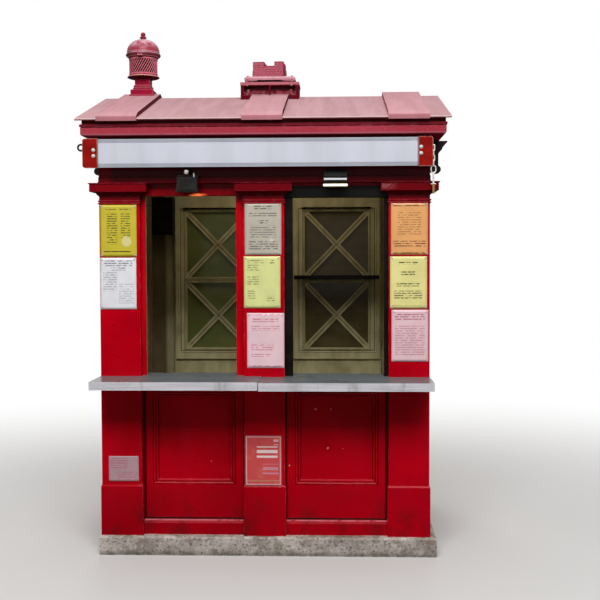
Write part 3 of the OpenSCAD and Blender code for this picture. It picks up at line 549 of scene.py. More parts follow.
def iron_black():
    """Near-black iron with a dusty bloom and rubbed edges."""
    p = Paint("iron_black")
    broad = p.noise(8, 5)
    p.base(p.band(broad, 0.35, 0.7), (26, 18, 20), (48, 34, 36))
    p.tint(p.upward(), (110, 84, 84), 0.6)
    p.tint(p.worn(0.004, 26, 4, 0.4, 0.6), (120, 84, 84), 0.5)
    return p.finish(p.ease(broad, 0.35, 0.55), p.noise(50), shine=0.12)


def mottled(name, dark, light, scale, rough, grain, detail=3.0, bump=0.2, depth=0.0005, shine=0.5):
    """The paint of a small part: two tones in a soft mottle under a fine grain."""
    p = Paint(name)
    p.base(p.noise(scale, detail), dark, light)
    return p.finish(rough, p.noise(grain, 2), bump, depth, shine)


materials = {
    "cast_red": red_gloss(),
    "roof_red": roof_paint(),
    "door_paint": red_timber(),
    "black_timber": black_timber(),
    "window_paint": window_paint(),
    "glass": pane_glass(),
    "concrete": concrete(),
    "floor_screed": screed(),
    "counter_steel": brushed_steel(),
    "bright_steel": bright_steel(),
    "sign_white": sign_white(),
    "sign_orange": sign_orange(),
    "raw_timber": raw_timber(),
    "lamp_black": lamp_black(),
    "iron_black": iron_black(),
}


def middle_of(name):
    """The middle of a node in plan."""
    low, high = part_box(name)
    return (low[0] + high[0]) / 2, (low[1] + high[1]) / 2


def from_cage_axis(p):
    """Distance in plan from the middle of the lantern's cage."""
    x, y = middle_of("lantern_cage")
    return p.math("SQRT", p.squares(p.minus(p.x, x), p.minus(p.y, y)))


def flange_highlight(p, away):
    """A pale line along the flange under the lattice: a painted highlight."""
    p.tint(p.both(p.within(p.z, 2.8735, 2.8795, 0.001), p.band(away, 0.085, 0.088)), (218, 176, 152), 0.8)


def lantern_marks(p):
    """Painted shade on the core behind the lattice and on the undersides, and pale edges below the cage as
    painted highlights.
    """
    away = from_cage_axis(p)
    p.tint(p.both(p.within(p.z, 2.8885, 2.992, 0.0005), p.band(away, 0.0825, 0.0815)), (24, 0, 8))
    p.tint(p.both(p.band(p.up, -0.15, -0.5), p.band(p.z, 2.84, 2.85)), (38, 8, 10), 0.85)
    flange_highlight(p, away)
    # Edges below the cage pale: painted highlights
    p.tint(p.both(p.edges(0.006, 0.01, 0.2), p.band(p.z, 2.86, 2.85)), (224, 150, 160), 0.5)


def lattice_marks(p):
    """The inner strands in shade."""
    away = from_cage_axis(p)
    p.tint(p.band(away, 0.0861, 0.0853), (50, 2, 16))
    flange_highlight(p, away)


def castle_marks(p):
    """The joints between the stones darker on the upright faces than on the tops, as painted shade."""
    p.tint(p.band(p.up, 0.8, 0.5), (156, 68, 86))


def dome_marks(p):
    """The crown of the dome pale below its finial: paint gone chalky, and a painted highlight."""
    faded_and_sheen = p.both(p.upward(0.15, 0.7), p.patches(22, 4, 0.3, 0.6), p.band(p.z, 3.117, 3.113))
    p.tint(faded_and_sheen, (226, 176, 190), 0.8)


def plate_marks(p):
    """The edge of the roof sheet at the eaves: pale above as a painted highlight, and brown along its lowest
    few millimetres.
    """
    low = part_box("front_roof")[0][2]
    edge = p.band(p.up, 0.8, 0.4)
    p.tint(p.both(edge, p.within(p.z, low + 0.006, low + 0.03, 0.001)), (226, 192, 194))
    p.tint(p.both(edge, p.band(p.z, low + 0.0065, low + 0.0055)), (88, 50, 46))


def strap_marks(p):
    """The right-hand edges of the straps in shade."""
    p.tint(p.band(p.right, 0.3, 0.6), (84, 26, 36), 0.85)


def stone_marks(p):
    """The stones darker on the ends of the castle: painted shade."""
    p.tint(p.band(p.away(p.right), 0.6, 0.9), (92, 16, 32), 0.8)


def cushion_marks(p):
    """The hollow under the cushion in deep shade."""
    across = p.away(p.x, middle_of("crest_cushion")[0])
    p.tint(p.both(p.band(across, 0.104, 0.1), p.band(p.up, -0.3, -0.6)), (24, 4, 8))


def pedestal_marks(p):
    """The panels between the legs in painted shade, with painted light on their lower half, and painted
    highlights along the feet.
    """
    set_back = p.band(p.away(p.y, middle_of("crest_pedestal")[1]), 0.08, 0.072)
    p.tint(set_back, (56, 0, 10), 0.7)
    p.tint(p.both(set_back, p.band(p.z, 2.785, 2.762), p.patches(30, 4, 0.3, 0.6)), (178, 84, 96), 0.6)
    p.tint(p.within(p.z, 2.7065, 2.7115, 0.001), (206, 132, 142), 0.5)


def dado_marks(p):
    """Deep shade in the slots beside the pilasters and over the kerb, and a pale line along the kerb."""
    across = p.away(p.x)
    slots = p.either(p.within(across, 0.112, 0.129, 0.001), p.within(across, 0.696, 0.718, 0.001))
    slots = p.both(slots, p.band(p.z, 0.195, 0.197))
    p.tint(p.either(slots, p.within(p.z, 0.1935, 0.2035, 0.0008)), (44, 0, 8), 0.8)
    kerb = p.both(p.within(p.z, 0.186, 0.1925, 0.001), p.patches(26, 4, 0.3, 0.5))
    p.tint(kerb, (206, 116, 128), 0.75)


def cornice_marks(p):
    """Fine pale specks over the crown moulding."""
    specks = p.both(p.within(p.z, 2.424, 2.458, 0.002), p.patches(90, 5, 0.5, 0.66, (0.7, 1, 1.4)))
    p.tint(specks, (216, 120, 134), 0.15)


def frieze_marks(p):
    """A red line along the top of the frieze, and its left end out of the sign's shade."""
    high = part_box("front_frieze")[1][2]
    p.tint(p.within(p.z, high - 0.006, high - 0.002, 0.001), (156, 20, 40), 0.5)
    p.tint(p.band(p.x, -0.86, -0.9), (156, 6, 24), 0.6)


stone_red = roof_paint("castle_red", (198, 108, 124), (216, 132, 146), 0.6, marks=stone_marks)
cornice_red = red_gloss("cornice_red", (156, 44, 58), (170, 60, 74), 0.3, CORNICE_STRIPES, cornice_marks)
pediment_red = red_gloss("pediment_red", (150, 20, 36), (172, 36, 54), 0.3, CORNICE_STRIPES)
own_paints = {
    "lantern_base": red_gloss("lantern_red", (136, 8, 42), (156, 24, 60), 0.6, marks=lantern_marks),
    "lantern_cage": red_gloss("cage_red", (188, 96, 108), (208, 120, 132), 0.3, marks=lattice_marks),
    "lantern_dome": roof_paint("dome_red", (140, 22, 50), (166, 48, 76), 0.5, 0.6, DOME_STRIPES, dome_marks),
    "crest_castle": roof_paint("castle_joints", (197, 107, 123), (215, 131, 145), 0.4, marks=castle_marks),
    "crest_cushion": roof_paint("cushion_red", (210, 158, 170), (232, 190, 200), 0.6, marks=cushion_marks),
    # A darker red than the rest: painted shade
    "crest_pedestal": red_gloss("pedestal_red", (80, 0, 14), (104, 4, 24), 0.9, PEDESTAL_STRIPES,
                                pedestal_marks, 0.25),
    "front_roof": roof_paint("plate_red", marks=plate_marks),
    "back_roof": roof_paint("back_plate_red", marks=plate_marks),
    "roof_straps": roof_paint("strap_red", (192, 142, 148), (206, 156, 162), marks=strap_marks),
    "front_cornice": cornice_red,
    "back_cornice": cornice_red,
    "left_pediment": pediment_red,
    "right_pediment": pediment_red,
    # A dark red: painted shade under the sign
    "front_frieze": red_gloss("frieze_red", (66, 0, 4), (96, 0, 8), 0.15, marks=frieze_marks),
    "front_dados": red_gloss("dado_red", dust=0.3, marks=dado_marks),
    # The hatch frame with a painted glow of the floodlight on its lintel
    "left_hatch_frame": red_timber("hatch_red", (-0.383, 2.08, 0.062, 0.016)),
}


def dress_nodes():
    """Gives every CAD node its slot's material or its own, and a small bevel where its edges are seen."""
    slots = {part["node"]: part["material_slot"] for part in frame["record"]["subparts"]}
    widths = {name: width for width, names in BEVELS.items() for name in names.split()}
    for name, node in nodes.items():
        node.data.materials.clear()
        node.data.materials.append(own_paints.get(name, materials[slots[name]]))
        if name in widths:
            bevel = node.modifiers.new("edge", "BEVEL")
            bevel.width = widths[name]
            bevel.segments = 2
            bevel.limit_method = "ANGLE"
            bevel.angle_limit = math.radians(28)
            bevel.harden_normals = False


def placed(name, data):
    """A new object in the scene that shows the data."""
    result = bpy.data.objects.new(name, data)
    bpy.context.scene.collection.objects.link(result)
    return result


def piece(build, slot_name, smooth, material=None, name=None, thickness=None):
    """Adds one piece that build(bm) draws in the row frame, called after build where no name is given.

    It has its slot's material where no other is given, and is made solid where a thickness is given.
    """
    name = name or build.__name__
    bm = bmesh.new()
    build(bm)
    bmesh.ops.recalc_face_normals(bm, faces=bm.faces)
    mesh = bpy.data.meshes.new(name)
    bm.to_mesh(mesh)
    bm.free()
    result = placed(name, mesh)
    mesh.materials.append(material or materials[slot_name])
    if smooth:
        mesh.shade_smooth()
        mesh.set_sharp_from_angle(angle=math.radians(smooth))
    if thickness:
        solid = result.modifiers.new("solidify", "SOLIDIFY")
        solid.thickness = thickness
        solid.offset = 0.0
    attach(result, "root")


def box(bm, low, high, bevel=0.0, turn=None):
    """A block between two corners, its edges rounded by bevel, turned by the matrix turn about its middle."""
    low, high = Vector(low), Vector(high)
    size = high - low
    middle = (high + low) / 2
    verts = bmesh.ops.create_cube(bm, size=1.0)["verts"]
    for v in verts:
        v.co = v.co * size
    if bevel:
        edges = {e for v in verts for e in v.link_edges}
        made = bmesh.ops.bevel(bm, geom=list(edges), offset=bevel, segments=2, profile=0.7, affect="EDGES")
        verts = made["verts"]
    for v in set(verts):
        v.co = (turn @ v.co if turn else v.co) + middle


def circle(steps):
    return [(math.cos(2 * math.pi * k / steps), math.sin(2 * math.pi * k / steps)) for k in range(steps)]


def skin(bm, rings):
    """Joins rings of points into one closed tube."""
    rings = [[bm.verts.new(point) for point in ring] for ring in rings]
    for low, high in zip(rings, rings[1:]):
        for k in range(len(low)):
            after = (k + 1) % len(low)
            bm.faces.new((low[k], low[after], high[after], high[k]))
    bm.faces.new(list(reversed(rings[0])))
    bm.faces.new(rings[-1])


def lathe(bm, points, at, axis=(0, 0, 1), steps=24):
    """A turned form: points are (radius, along), axis the direction along."""
    turn = Vector((0, 0, 1)).rotation_difference(Vector(axis)).to_matrix()
    skin(bm, [[turn @ Vector((radius * x, radius * y, along)) + Vector(at) for x, y in circle(steps)]
              for radius, along in points])


def rope(bm, path, radius, steps=8):
    """A round bar along a path of points."""
    rings = []
    side = Vector((1, 0, 0))
    for i, point in enumerate(path):
        ahead = (Vector(path[min(i + 1, len(path) - 1)]) - Vector(path[max(i - 1, 0)])).normalized()
        side = side - ahead * side.dot(ahead)
        if side.length < 1e-4:
            side = ahead.orthogonal()
        side.normalize()
        up = ahead.cross(side)
        rings.append([Vector(point) + (side * x + up * y) * radius for x, y in circle(steps)])
    skin(bm, rings)


def bars(bm, lines, y, radius, steps=8):
    """Round bars in one upright plane, along lines between two (x, z) points."""
    for (x0, z0), (x1, z1) in lines:
        rope(bm, [(x0, y, z0), (x1, y, z1)], radius, steps)


def dome_bolt(bm, at, radius, height, axis=(0, -1, 0)):
    rim = 0.15
    points = [(radius, 0.0), (radius, height * rim)]
    angles = (0.3, 0.6, 0.9, 1.2, 1.4)
    points += [(radius * math.cos(a), height * (rim + (1 - rim) * math.sin(a))) for a in angles]
    lathe(bm, points, at, axis, 20)


def paper_material(name, ground, mark, blocks, pale=None):
    """Paper with blocks of broken rules in place of print, and creases."""
    p = Paint(name)
    ground = linear(ground)
    p.base(p.patches(10, 3, 0.3, 0.7), ground, (*(c * 0.9 for c in ground[:3]), 1))
    rules = p.both(p.rules(0.0135, -0.1, 0.3), p.patches(60, 2, 0.41, 0.47, (1, 1, 1.4)))
    for x0, x1, z0, z1, share in blocks:
        p.tint(p.both(p.panel(x0, x1, z0, z1, 0.003, 0.002), rules), mark, share)
    if pale:
        p.tint(p.spots([pale]), (250, 248, 225), 0.35)
    return p.finish(p.ease(p.patches(4, 3, 0.35, 0.7), 0.28, 0.5), p.noise(14), 0.25, 0.002)


def add_sheet(name, x, z, w, h, material):
    """A sheet on a pilaster face, its top left corner at (x, z), with curled free edges."""
    columns, rows = 14, 20
    stand_off = 0.0012
    lift = 0.0022

    def build(bm):
        grid = []
        for j in range(rows + 1):
            line = []
            for i in range(columns + 1):
                u, v = i / columns, j / rows
                bow = noise.noise(Vector((x * 9 + u * 2.2, z * 7 + v * 2.6, 3.1)))
                curl = max(0.0, abs(v - 0.5) * 2 - 0.75) * max(0.0, 1 - abs(u - 0.5) * 2.4) * 1.5
                y = FRONT - stand_off - lift * (0.35 + 0.5 * bow) - lift * curl
                line.append(bm.verts.new((x + u * w, y, z - v * h)))
            grid.append(line)
        for upper, lower in zip(grid, grid[1:]):
            for i in range(columns):
                bm.faces.new((upper[i], lower[i], lower[i + 1], upper[i + 1]))

    piece(build, "sign_white", 60, material, name, thickness=0.0004)


# Sheets and leaflet: name, left and top edge, width and height in metres, tones of paper and print,
# printed blocks (left, right, bottom, top, share) and a pale spot (x, z, radius)
A4 = (0.21, 0.297)
SHEETS = (
    ("sheet_left_top", -0.943, 2.027, A4, (206, 190, 44), (60, 52, 16),
     ((-0.91, -0.765, 1.996, 2.012, 0.8), (-0.905, -0.845, 1.8, 1.985, 0.9),
      (-0.825, -0.77, 1.84, 1.985, 0.85), (-0.925, -0.76, 1.75, 1.765, 1.0)), (-0.792, 1.817, 0.034)),
    ("sheet_left_second", -0.947, 1.723, A4, (238, 238, 243), (70, 72, 84),
     ((-0.925, -0.76, 1.675, 1.712, 0.8), (-0.88, -0.8, 1.65, 1.668, 0.8), (-0.93, -0.85, 1.53, 1.64, 0.5),
      (-0.84, -0.75, 1.46, 1.58, 0.4)), None),
    ("sheet_mid_top", -0.109, 2.034, A4, (190, 183, 168), (40, 37, 34),
     ((-0.055, 0.045, 1.995, 2.022, 0.8), (-0.085, 0.075, 1.955, 1.982, 0.7),
      (-0.035, 0.025, 1.915, 1.935, 1.0), (-0.08, 0.07, 1.835, 1.905, 0.6),
      (-0.085, 0.08, 1.765, 1.822, 0.75)), (0.045, 1.818, 0.012)),
    ("sheet_mid_second", -0.115, 1.729, A4, (224, 228, 150), (70, 74, 36),
     ((-0.095, 0.0, 1.69, 1.71, 0.6), (-0.095, -0.03, 1.64, 1.68, 0.7), (-0.095, -0.03, 1.56, 1.62, 0.6),
      (-0.095, -0.05, 1.48, 1.54, 0.6), (0.02, 0.06, 1.47, 1.5, 0.7),
      (0.035, 0.06, 1.685, 1.708, 0.9)), None),
    ("sheet_right_top", 0.7275, 2.033, A4, (236, 170, 104), (98, 36, 16),
     ((0.74, 0.925, 2.008, 2.024, 0.9), (0.765, 0.9, 1.85, 1.985, 0.5), (0.74, 0.925, 1.775, 1.815, 0.9),
      (0.74, 0.925, 1.742, 1.756, 0.9)), None),
    ("sheet_right_second", 0.723, 1.726, A4, (236, 228, 148), (48, 44, 26),
     ((0.765, 0.88, 1.68, 1.7, 1.0), (0.785, 0.865, 1.615, 1.64, 1.0), (0.76, 0.89, 1.555, 1.58, 1.0),
      (0.745, 0.905, 1.485, 1.53, 0.9), (0.735, 0.92, 1.437, 1.447, 0.7)), None),
    ("sheet_right_third", 0.731, 1.421, A4, (240, 202, 208), (160, 52, 82),
     ((0.75, 0.92, 1.36, 1.405, 0.8), (0.75, 0.92, 1.16, 1.33, 0.5)), None),
    ("sheet_mid_third", -0.098, 1.403, (0.214, 0.317), (244, 208, 216), (200, 76, 110),
     ((-0.088, 0.106, 1.388, 1.399, 0.8), (-0.07, 0.08, 1.352, 1.372, 0.8),
      (-0.075, 0.09, 1.3, 1.335, 0.6), (-0.075, 0.06, 1.185, 1.23, 0.7),
      (-0.075, 0.04, 1.15, 1.168, 0.7), (-0.088, 0.106, 1.092, 1.102, 0.8)), None),
    ("leaflet_left_foot", -0.909, 0.571, (0.175, 0.146), (191, 155, 164), (190, 60, 90),
     ((-0.9, -0.8, 0.5, 0.56, 0.6), (-0.86, -0.74, 0.43, 0.48, 0.5)), None),
)


def corner_tapes(bm):
    """Tape on the four corners of every sheet, a little askew; the leaflet, the last one, has none."""
    inset = 0.009
    half = Vector((0.0095, 0.0003, 0.0045))
    for _, x, z, (w, h), *_ in SHEETS[:-1]:
        for at_z, top in ((z - inset, 1), (z - h + inset, -1)):
            for at_x, left in ((x + inset, 1), (x + w - inset, -1)):
                turn = Matrix.Rotation(0.7 * top * left + random.uniform(-0.25, 0.25), 3, "Y")
                at = Vector((at_x, FRONT - 0.0048, at_z))
                box(bm, at - half, at + half, turn=turn)


def clear_tape():
    p = Paint("clear_tape", (226, 214, 196))
    return p.finish(0.25, p.noise(60, 2), 0.3, alpha=0.3)


def poster(bm):
    """The poster on the foot of the middle pilaster."""
    left, right, low, high = POSTER
    box(bm, (left, FRONT - 0.0078, low), (right, FRONT - 0.007, high))


def poster_print():
    """Red with a pale rim that is a painted highlight of the sleeve's rim, and plain bars in place of print.
    """
    left, right, low, high = POSTER
    plain_bars = ((-0.045, 0.075, 0.566, 0.632, (252, 232, 232)), (0.052, 0.08, 0.64, 0.672, (236, 190, 192)),
                  (-0.104, 0.09, 0.412, 0.436, (196, 120, 84)), (-0.01, 0.08, 0.47, 0.53, (214, 130, 150)))
    p = Paint("poster_print")
    p.base(p.patches(9, 3, 0.3, 0.7), (204, 26, 32), (222, 50, 48))
    p.tint(p.patches(17, 4, 0.5, 0.62), (214, 104, 62), 0.5)
    rules = p.rules(0.033, -0.5, 0.1)
    for x0, x1, z0, z1, tone in plain_bars:
        p.tint(p.both(p.panel(x0, x1, z0, z1, 0.003, 0.003), rules), tone, 0.95)
    # The pale rim: a painted highlight of the sleeve's rim
    field = p.panel(left + SLEEVE_RIM, right - SLEEVE_RIM, low + SLEEVE_RIM, high - SLEEVE_RIM, 0.002, 0.002)
    p.tint(p.minus(1.0, field), (240, 160, 170))
    return p.finish(0.4, p.noise(14, 2), 0.1)


def poster_sleeve(bm):
    """A stiff clear sleeve over the poster, with a raised rim."""
    x0, x1, z0, z1 = SLEEVE
    in_x0, in_x1 = x0 + SLEEVE_RIM, x1 - SLEEVE_RIM
    box(bm, (x0, FRONT - 0.0095, z0), (x1, FRONT - 0.0085, z1), 0.0003)
    for left, right, low, high in ((x0, in_x0, z0, z1), (in_x1, x1, z0, z1),
                                   (in_x0, in_x1, z0, z0 + SLEEVE_RIM), (in_x0, in_x1, z1 - SLEEVE_RIM, z1)):
        box(bm, (left, FRONT - 0.0105, low), (right, FRONT - 0.0062, high), 0.0008)


def clear_sleeve():
    p = Paint("clear_sleeve", (236, 226, 226))
    return p.finish(0.2, p.noise(8), 0.3, 0.002, shine=0.2, alpha=0.04)


def sign_bolts(bm):
    """Pairs of dome bolts on washers on the end boards of the sign."""
    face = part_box("sign_end_boards")[0][1]
    for x, z in ((-0.954, 2.3295), (-0.954, 2.297), (0.8895, 2.336), (0.8895, 2.301)):
        lathe(bm, [(0.0105, 0.0), (0.0105, 0.0015), (0.009, 0.0022)], (x, face, z), (0, -1, 0), 20)
        dome_bolt(bm, (x, face - 0.002, z), 0.008, 0.005)


def bolt_white():
    p = Paint("bolt_white")
    p.base(p.edges(0.002), (214, 214, 208), (120, 100, 84))
    return p.finish(0.35, p.noise(40, 2), 0.1)


def kept_outside(x0, x1, left, right):
    """What a stone from x0 to x1 keeps outside a gap from left to right."""
    joint = 0.0005
    if x1 <= left or x0 >= right:
        return x0, x1
    if x0 < left:
        return x0, left - joint
    if x1 > right:
        return right + joint, x1
    return x0, x0


def stone(bm, x0, x1, z0, z1, out, place):
    """One stone on a face at the distance out, its back in the wall and its front edges drawn in."""
    proud = random.uniform(0.0007, 0.0016)
    for v in bmesh.ops.create_cube(bm, size=1.0)["verts"]:
        outward, inset = (out + 0.0006 + proud, 0.0008) if v.co.y < 0 else (out - 0.0034, 0.0)
        v.co = place @ Vector((x0 + inset if v.co.x < 0 else x1 - inset, -outward,
                               z0 + inset if v.co.z < 0 else z1 - inset))


def castle_stones(bm):
    """Raised stones in courses on the four faces of the ridge castle."""
    low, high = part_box("crest_castle")
    middle = Matrix.Translation((*middle_of("crest_castle"), 0)) @ Matrix.Rotation(math.radians(-4), 4, "Z")
    long_half, short_half = 0.096, 0.066
    course = 0.0142
    gap = 0.001
    margin = 0.0015
    doorway = 0.018
    doorway_top = low[2] + 0.056
    battlement = high[2] - 0.026
    for side, notch_x in enumerate((0.007, 0.0, -0.007, 0.0)):
        short = side % 2
        half, out = (short_half, long_half) if short else (long_half, short_half)
        notch = 0.016 if short else 0.032
        place = middle @ Matrix.Rotation(side * math.pi / 2, 4, "Z")
        for row in range(6):
            z0 = low[2] + 0.0005 + row * course
            z1 = z0 + course - gap
            if z1 > high[2] - 0.0005:
                break
            x = -half + margin - (0.012 if row % 2 else 0.0)
            while x < half:
                length = random.uniform(0.018, 0.03)
                x0, x1 = max(x, -half + margin), min(x + length - gap, half - margin)
                x += length
                if short and x0 < doorway and x1 > -doorway and z0 < doorway_top:
                    continue
                if z1 > battlement:
                    x0, x1 = kept_outside(x0, x1, notch_x - notch, notch_x + notch)
                if x1 - x0 >= 0.004:
                    stone(bm, x0, x1, z0, z1, out, place)


def cushion_trim(bm):
    """Knobs on the rolled ends of the cushion, and a tassel on a short cord at each corner."""
    low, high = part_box("crest_cushion")
    knob = [(0.001, -0.002), (0.007, 0.0), (0.0095, 0.004), (0.009, 0.008), (0.004, 0.011), (0.001, 0.0115)]
    tassel = [(0.002, 0.0), (0.007, -0.003), (0.008, -0.01), (0.005, -0.014), (0.0075, -0.02),
              (0.0085, -0.038), (0.001, -0.04)]
    for x in (low[0] + 0.022, high[0] - 0.022):
        for y in (low[1] + 0.02, high[1] - 0.02):
            lathe(bm, knob, (x, y, high[2] - 0.006), steps=16)
    for x in (low[0] + 0.02, high[0] - 0.024):
        for y, side in ((low[1] - 0.02, -1), (high[1] + 0.02, 1)):
            lathe(bm, tassel, (x, y + side * 0.003, low[2] + 0.012), steps=12)
            rope(bm, [(x, y + side * (0.001 - 0.022 * t), low[2] + 0.014 + 0.008 * math.sin(t * 3))
                      for t in (1.0, 0.75, 0.5, 0.25, 0.0)], 0.003)


def spiral(cx, cz, r0, r1, a0, a1, y, steps=12):
    """Points on a spiral from radius r0 at angle a0 to r1 at a1, in an X-Z plane."""
    turns = [(math.radians(a0 + (a1 - a0) * k / steps), r0 + (r1 - r0) * k / steps) for k in range(steps + 1)]
    return [(cx + r * math.cos(a), y, cz + r * math.sin(a)) for a, r in turns]


def pedestal_scrolls(bm):
    """Light curved braces that rise from the feet of the pedestal and end in small scrolls."""
    low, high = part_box("crest_pedestal")
    foot_z = 2.728
    stem = ((0.0, 0.0), (0.006, 0.35), (0.015, 0.7), (0.021, 1.0))
    for y in (low[1] + 0.01, high[1] - 0.01):
        for side in (-1, 1):
            x = middle_of("crest_pedestal")[0] + side * 0.15
            for outward, top in ((-1, 0.04), (1, 0.026)):
                turn = side * outward
                start, end = (0, 260) if turn > 0 else (180, -80)
                path = [(x + turn * lean, y, foot_z + top * rise) for lean, rise in stem]
                path += spiral(x + turn * 0.0145, foot_z + top + 0.001, 0.0065, 0.0025, start, end, y)
                rope(bm, path, 0.0028)


def scroll_paint():
    p = Paint("scroll_paint")
    p.base(p.patches(30, 3, 0.4, 0.6), (150, 60, 74), (184, 104, 114))
    return p.finish(0.4, p.noise(60, 2))


def window_rods(bm):
    """A dark rod across the head of each back window, on small brackets."""
    y = WINDOW_FACE - 0.02
    z = 2.066
    half = 0.24
    for bay in BAYS:
        rope(bm, [(bay - half, y, z), (bay + half, y, z)], 0.006, 12)
        for x in (bay - half + 0.02, bay + half - 0.02):
            box(bm, (x - 0.005, y - 0.004, z - 0.008), (x + 0.005, WINDOW_FACE + 0.001, z + 0.008), 0.001)


def outline(bm, x, z, w, h, y, radius):
    """Four bars round an upright rectangle with its middle at (x, z)."""
    left, right, low, high = x - w / 2, x + w / 2, z - h / 2, z + h / 2
    corners = [(left, low), (right, low), (right, high), (left, high)]
    bars(bm, zip(corners, corners[1:] + corners[:1]), y, radius)


def window_beads(bm):
    """Beads round the panes and round each window, on the room side."""
    for bay in BAYS:
        for z in PANE_MIDDLES:
            outline(bm, bay, z, PANE_W + 0.012, PANE_H + 0.012, WINDOW_FACE, 0.0035)
        outline(bm, bay, WINDOW_MIDDLE, PANE_W + 0.11, 1.01, WINDOW_FACE, 0.0045)


def window_shade_strips(bm):
    """Dark strips beside the beads and along the crossed bars: painted shade."""
    y = WINDOW_FACE + 0.0008
    across, up = PANE_W / 2 - 0.02, PANE_H / 2 - 0.02
    for bay in BAYS:
        for z in PANE_MIDDLES:
            outline(bm, bay, z, PANE_W + 0.034, PANE_H + 0.034, y, 0.0015)
            crossed = [((bay - s * across, z - up), (bay + s * across, z + up)) for s in (-1, 1)]
            bars(bm, crossed, WINDOW_FACE + 0.0093, 0.0017, 6)
        outline(bm, bay, WINDOW_MIDDLE, PANE_W + 0.086, 0.997, y, 0.0024)


def dado_groove_shade(bm):
    """Dark strips in the grooves of the mouldings round the dado fields: painted shade."""
    half_field = 0.209
    field_low, field_high = 0.428, 0.908
    # Each groove: how far outside the field, how far behind the pilasters' faces, radius
    grooves = ((-0.0008, 0.0545, 0.0016), (0.0155, 0.0446, 0.0016), (0.0308, 0.045, 0.0018))
    for bay in BAYS:
        for out, depth, radius in grooves:
            left, right = bay - half_field - out, bay + half_field + out
            low, high = field_low - out, field_high + out
            sides = [((x, low), (x, high)) for x in (left, right)] + [((left, high), (right, high))]
            bars(bm, sides, FRONT + depth, radius, 6)


def lamp_glass(bm):
    """The floodlight's glass, in the underside of its case."""
    low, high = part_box("floodlight")
    box(bm, (low[0] + 0.014, LAMP_FRONT + 0.004, low[2] + 0.004),
        (high[0] - 0.014, LAMP_BACK - 0.004, low[2] + 0.009), 0.002)


def lamp_lens():
    p = Paint("lamp_lens", (255, 226, 190))
    p.glow((255, 206, 140), p.ease(p.patches(20, 2, 0.3, 0.7), 1.2, 2.2))
    return p.finish(0.3, p.noise(120, 2))


def lamp_trim(bm):
    """Bolts at the floodlight's corners and cooling fins on its face."""
    low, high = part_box("floodlight")
    fins = 7
    for x in (low[0] + 0.01, high[0] - 0.01):
        for y in (LAMP_FRONT - 0.004, LAMP_BACK + 0.004):
            dome_bolt(bm, (x, y, low[2] + 0.012), 0.0035, 0.003, (0, 0, 1))
    for k in range(fins):
        x = low[0] + 0.028 + k * (high[0] - low[0] - 0.056) / (fins - 1)
        box(bm, (x - 0.0012, LAMP_FRONT - 0.003, low[2] + 0.026),
            (x + 0.0012, LAMP_FRONT + 0.016, low[2] + 0.078), 0.0004)


def lamp_connector(bm):
    """A ceramic connector over the floodlight, with its wire."""
    middle = middle_of("floodlight")[0]
    lathe(bm, [(0.01, 0.0), (0.0125, 0.003), (0.0125, 0.018), (0.008, 0.022)],
          (middle - 0.004, FRONT - 0.072, 2.196), (0.12, -0.3, 1), 16)
    wire = ((0.034, 0.06, 2.168), (0.04, 0.066, 2.184), (0.036, 0.058, 2.2))
    rope(bm, [(middle + across, FRONT - out, z) for across, out, z in wire], 0.003)


def door_fittings(bm):
    """A plain lever handle, keyhole plate and three butt hinges on the door in the left end."""
    low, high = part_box("left_door")
    face = low[0]
    handle_y = high[1] - 0.055
    handle_z = 1.08
    left = (-1, 0, 0)
    box(bm, (face - 0.004, handle_y - 0.022, 0.93), (face + 0.002, handle_y + 0.022, 1.13), 0.002)
    rose = [(0.011, 0.0), (0.011, 0.01), (0.009, 0.012), (0.009, 0.034)]
    lathe(bm, rose, (face - 0.003, handle_y, handle_z), left, 20)
    lever = ((0.036, 0.004, 0.0), (0.037, -0.05, 0.002), (0.034, -0.105, -0.002))
    rope(bm, [(face - out, handle_y + along, handle_z + rise) for out, along, rise in lever], 0.008, 12)
    lathe(bm, [(0.008, 0.0), (0.008, 0.0015), (0.003, 0.002)], (face - 0.004, handle_y, 0.985), left, 16)
    for z in (0.32, 1.06, 1.86):
        lathe(bm, [(0.004, -0.052), (0.007, -0.05), (0.007, 0.05), (0.004, 0.052)],
              (face - 0.004, low[1] - 0.001, z), (0, 0, 1), 16)
        box(bm, (face - 0.003, low[1] - 0.024, z - 0.045), (face + 0.001, low[1] + 0.026, z + 0.045), 0.001)


def counter_rivets(bm):
    """Rivets along the counter lips, with none over the joint between the two trays."""
    (_, face, _), (_, _, top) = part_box("left_counter")
    joint_x = -0.016
    rivets_in_row = 12
    half_row = 0.9
    for k in range(rivets_in_row):
        x = -half_row + k * 2 * half_row / (rivets_in_row - 1)
        if abs(x - joint_x) >= 0.03:
            dome_bolt(bm, (x, face + 0.0014, top - 0.023), 0.0028, 0.0012)


def sign_screws(bm):
    """Small screws along the top and bottom of the sign."""
    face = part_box("sign_panel")[0][1]
    for x in (-0.9, -0.45, 0.0, 0.45, 0.85):
        for z in (2.25, 2.374):
            lathe(bm, [(0.0032, 0.0), (0.003, 0.0008), (0.0012, 0.0004)], (x, face, z), (0, -1, 0), 12)


def add_camera():
    data = bpy.data.cameras.new("view")
    data.lens = CAMERA_LENS_MM
    data.sensor_width = SENSOR_MM
    camera = placed("view", data)
    camera.matrix_world = (
        Matrix.Translation(CAMERA_AT)
        @ Matrix.Rotation(CAMERA_YAW, 4, "Z")
        @ Matrix.Rotation(math.pi / 2 - CAMERA_PITCH, 4, "X")
        @ Matrix.Rotation(CAMERA_ROLL, 4, "Z")
    )
    bpy.context.scene.camera = camera


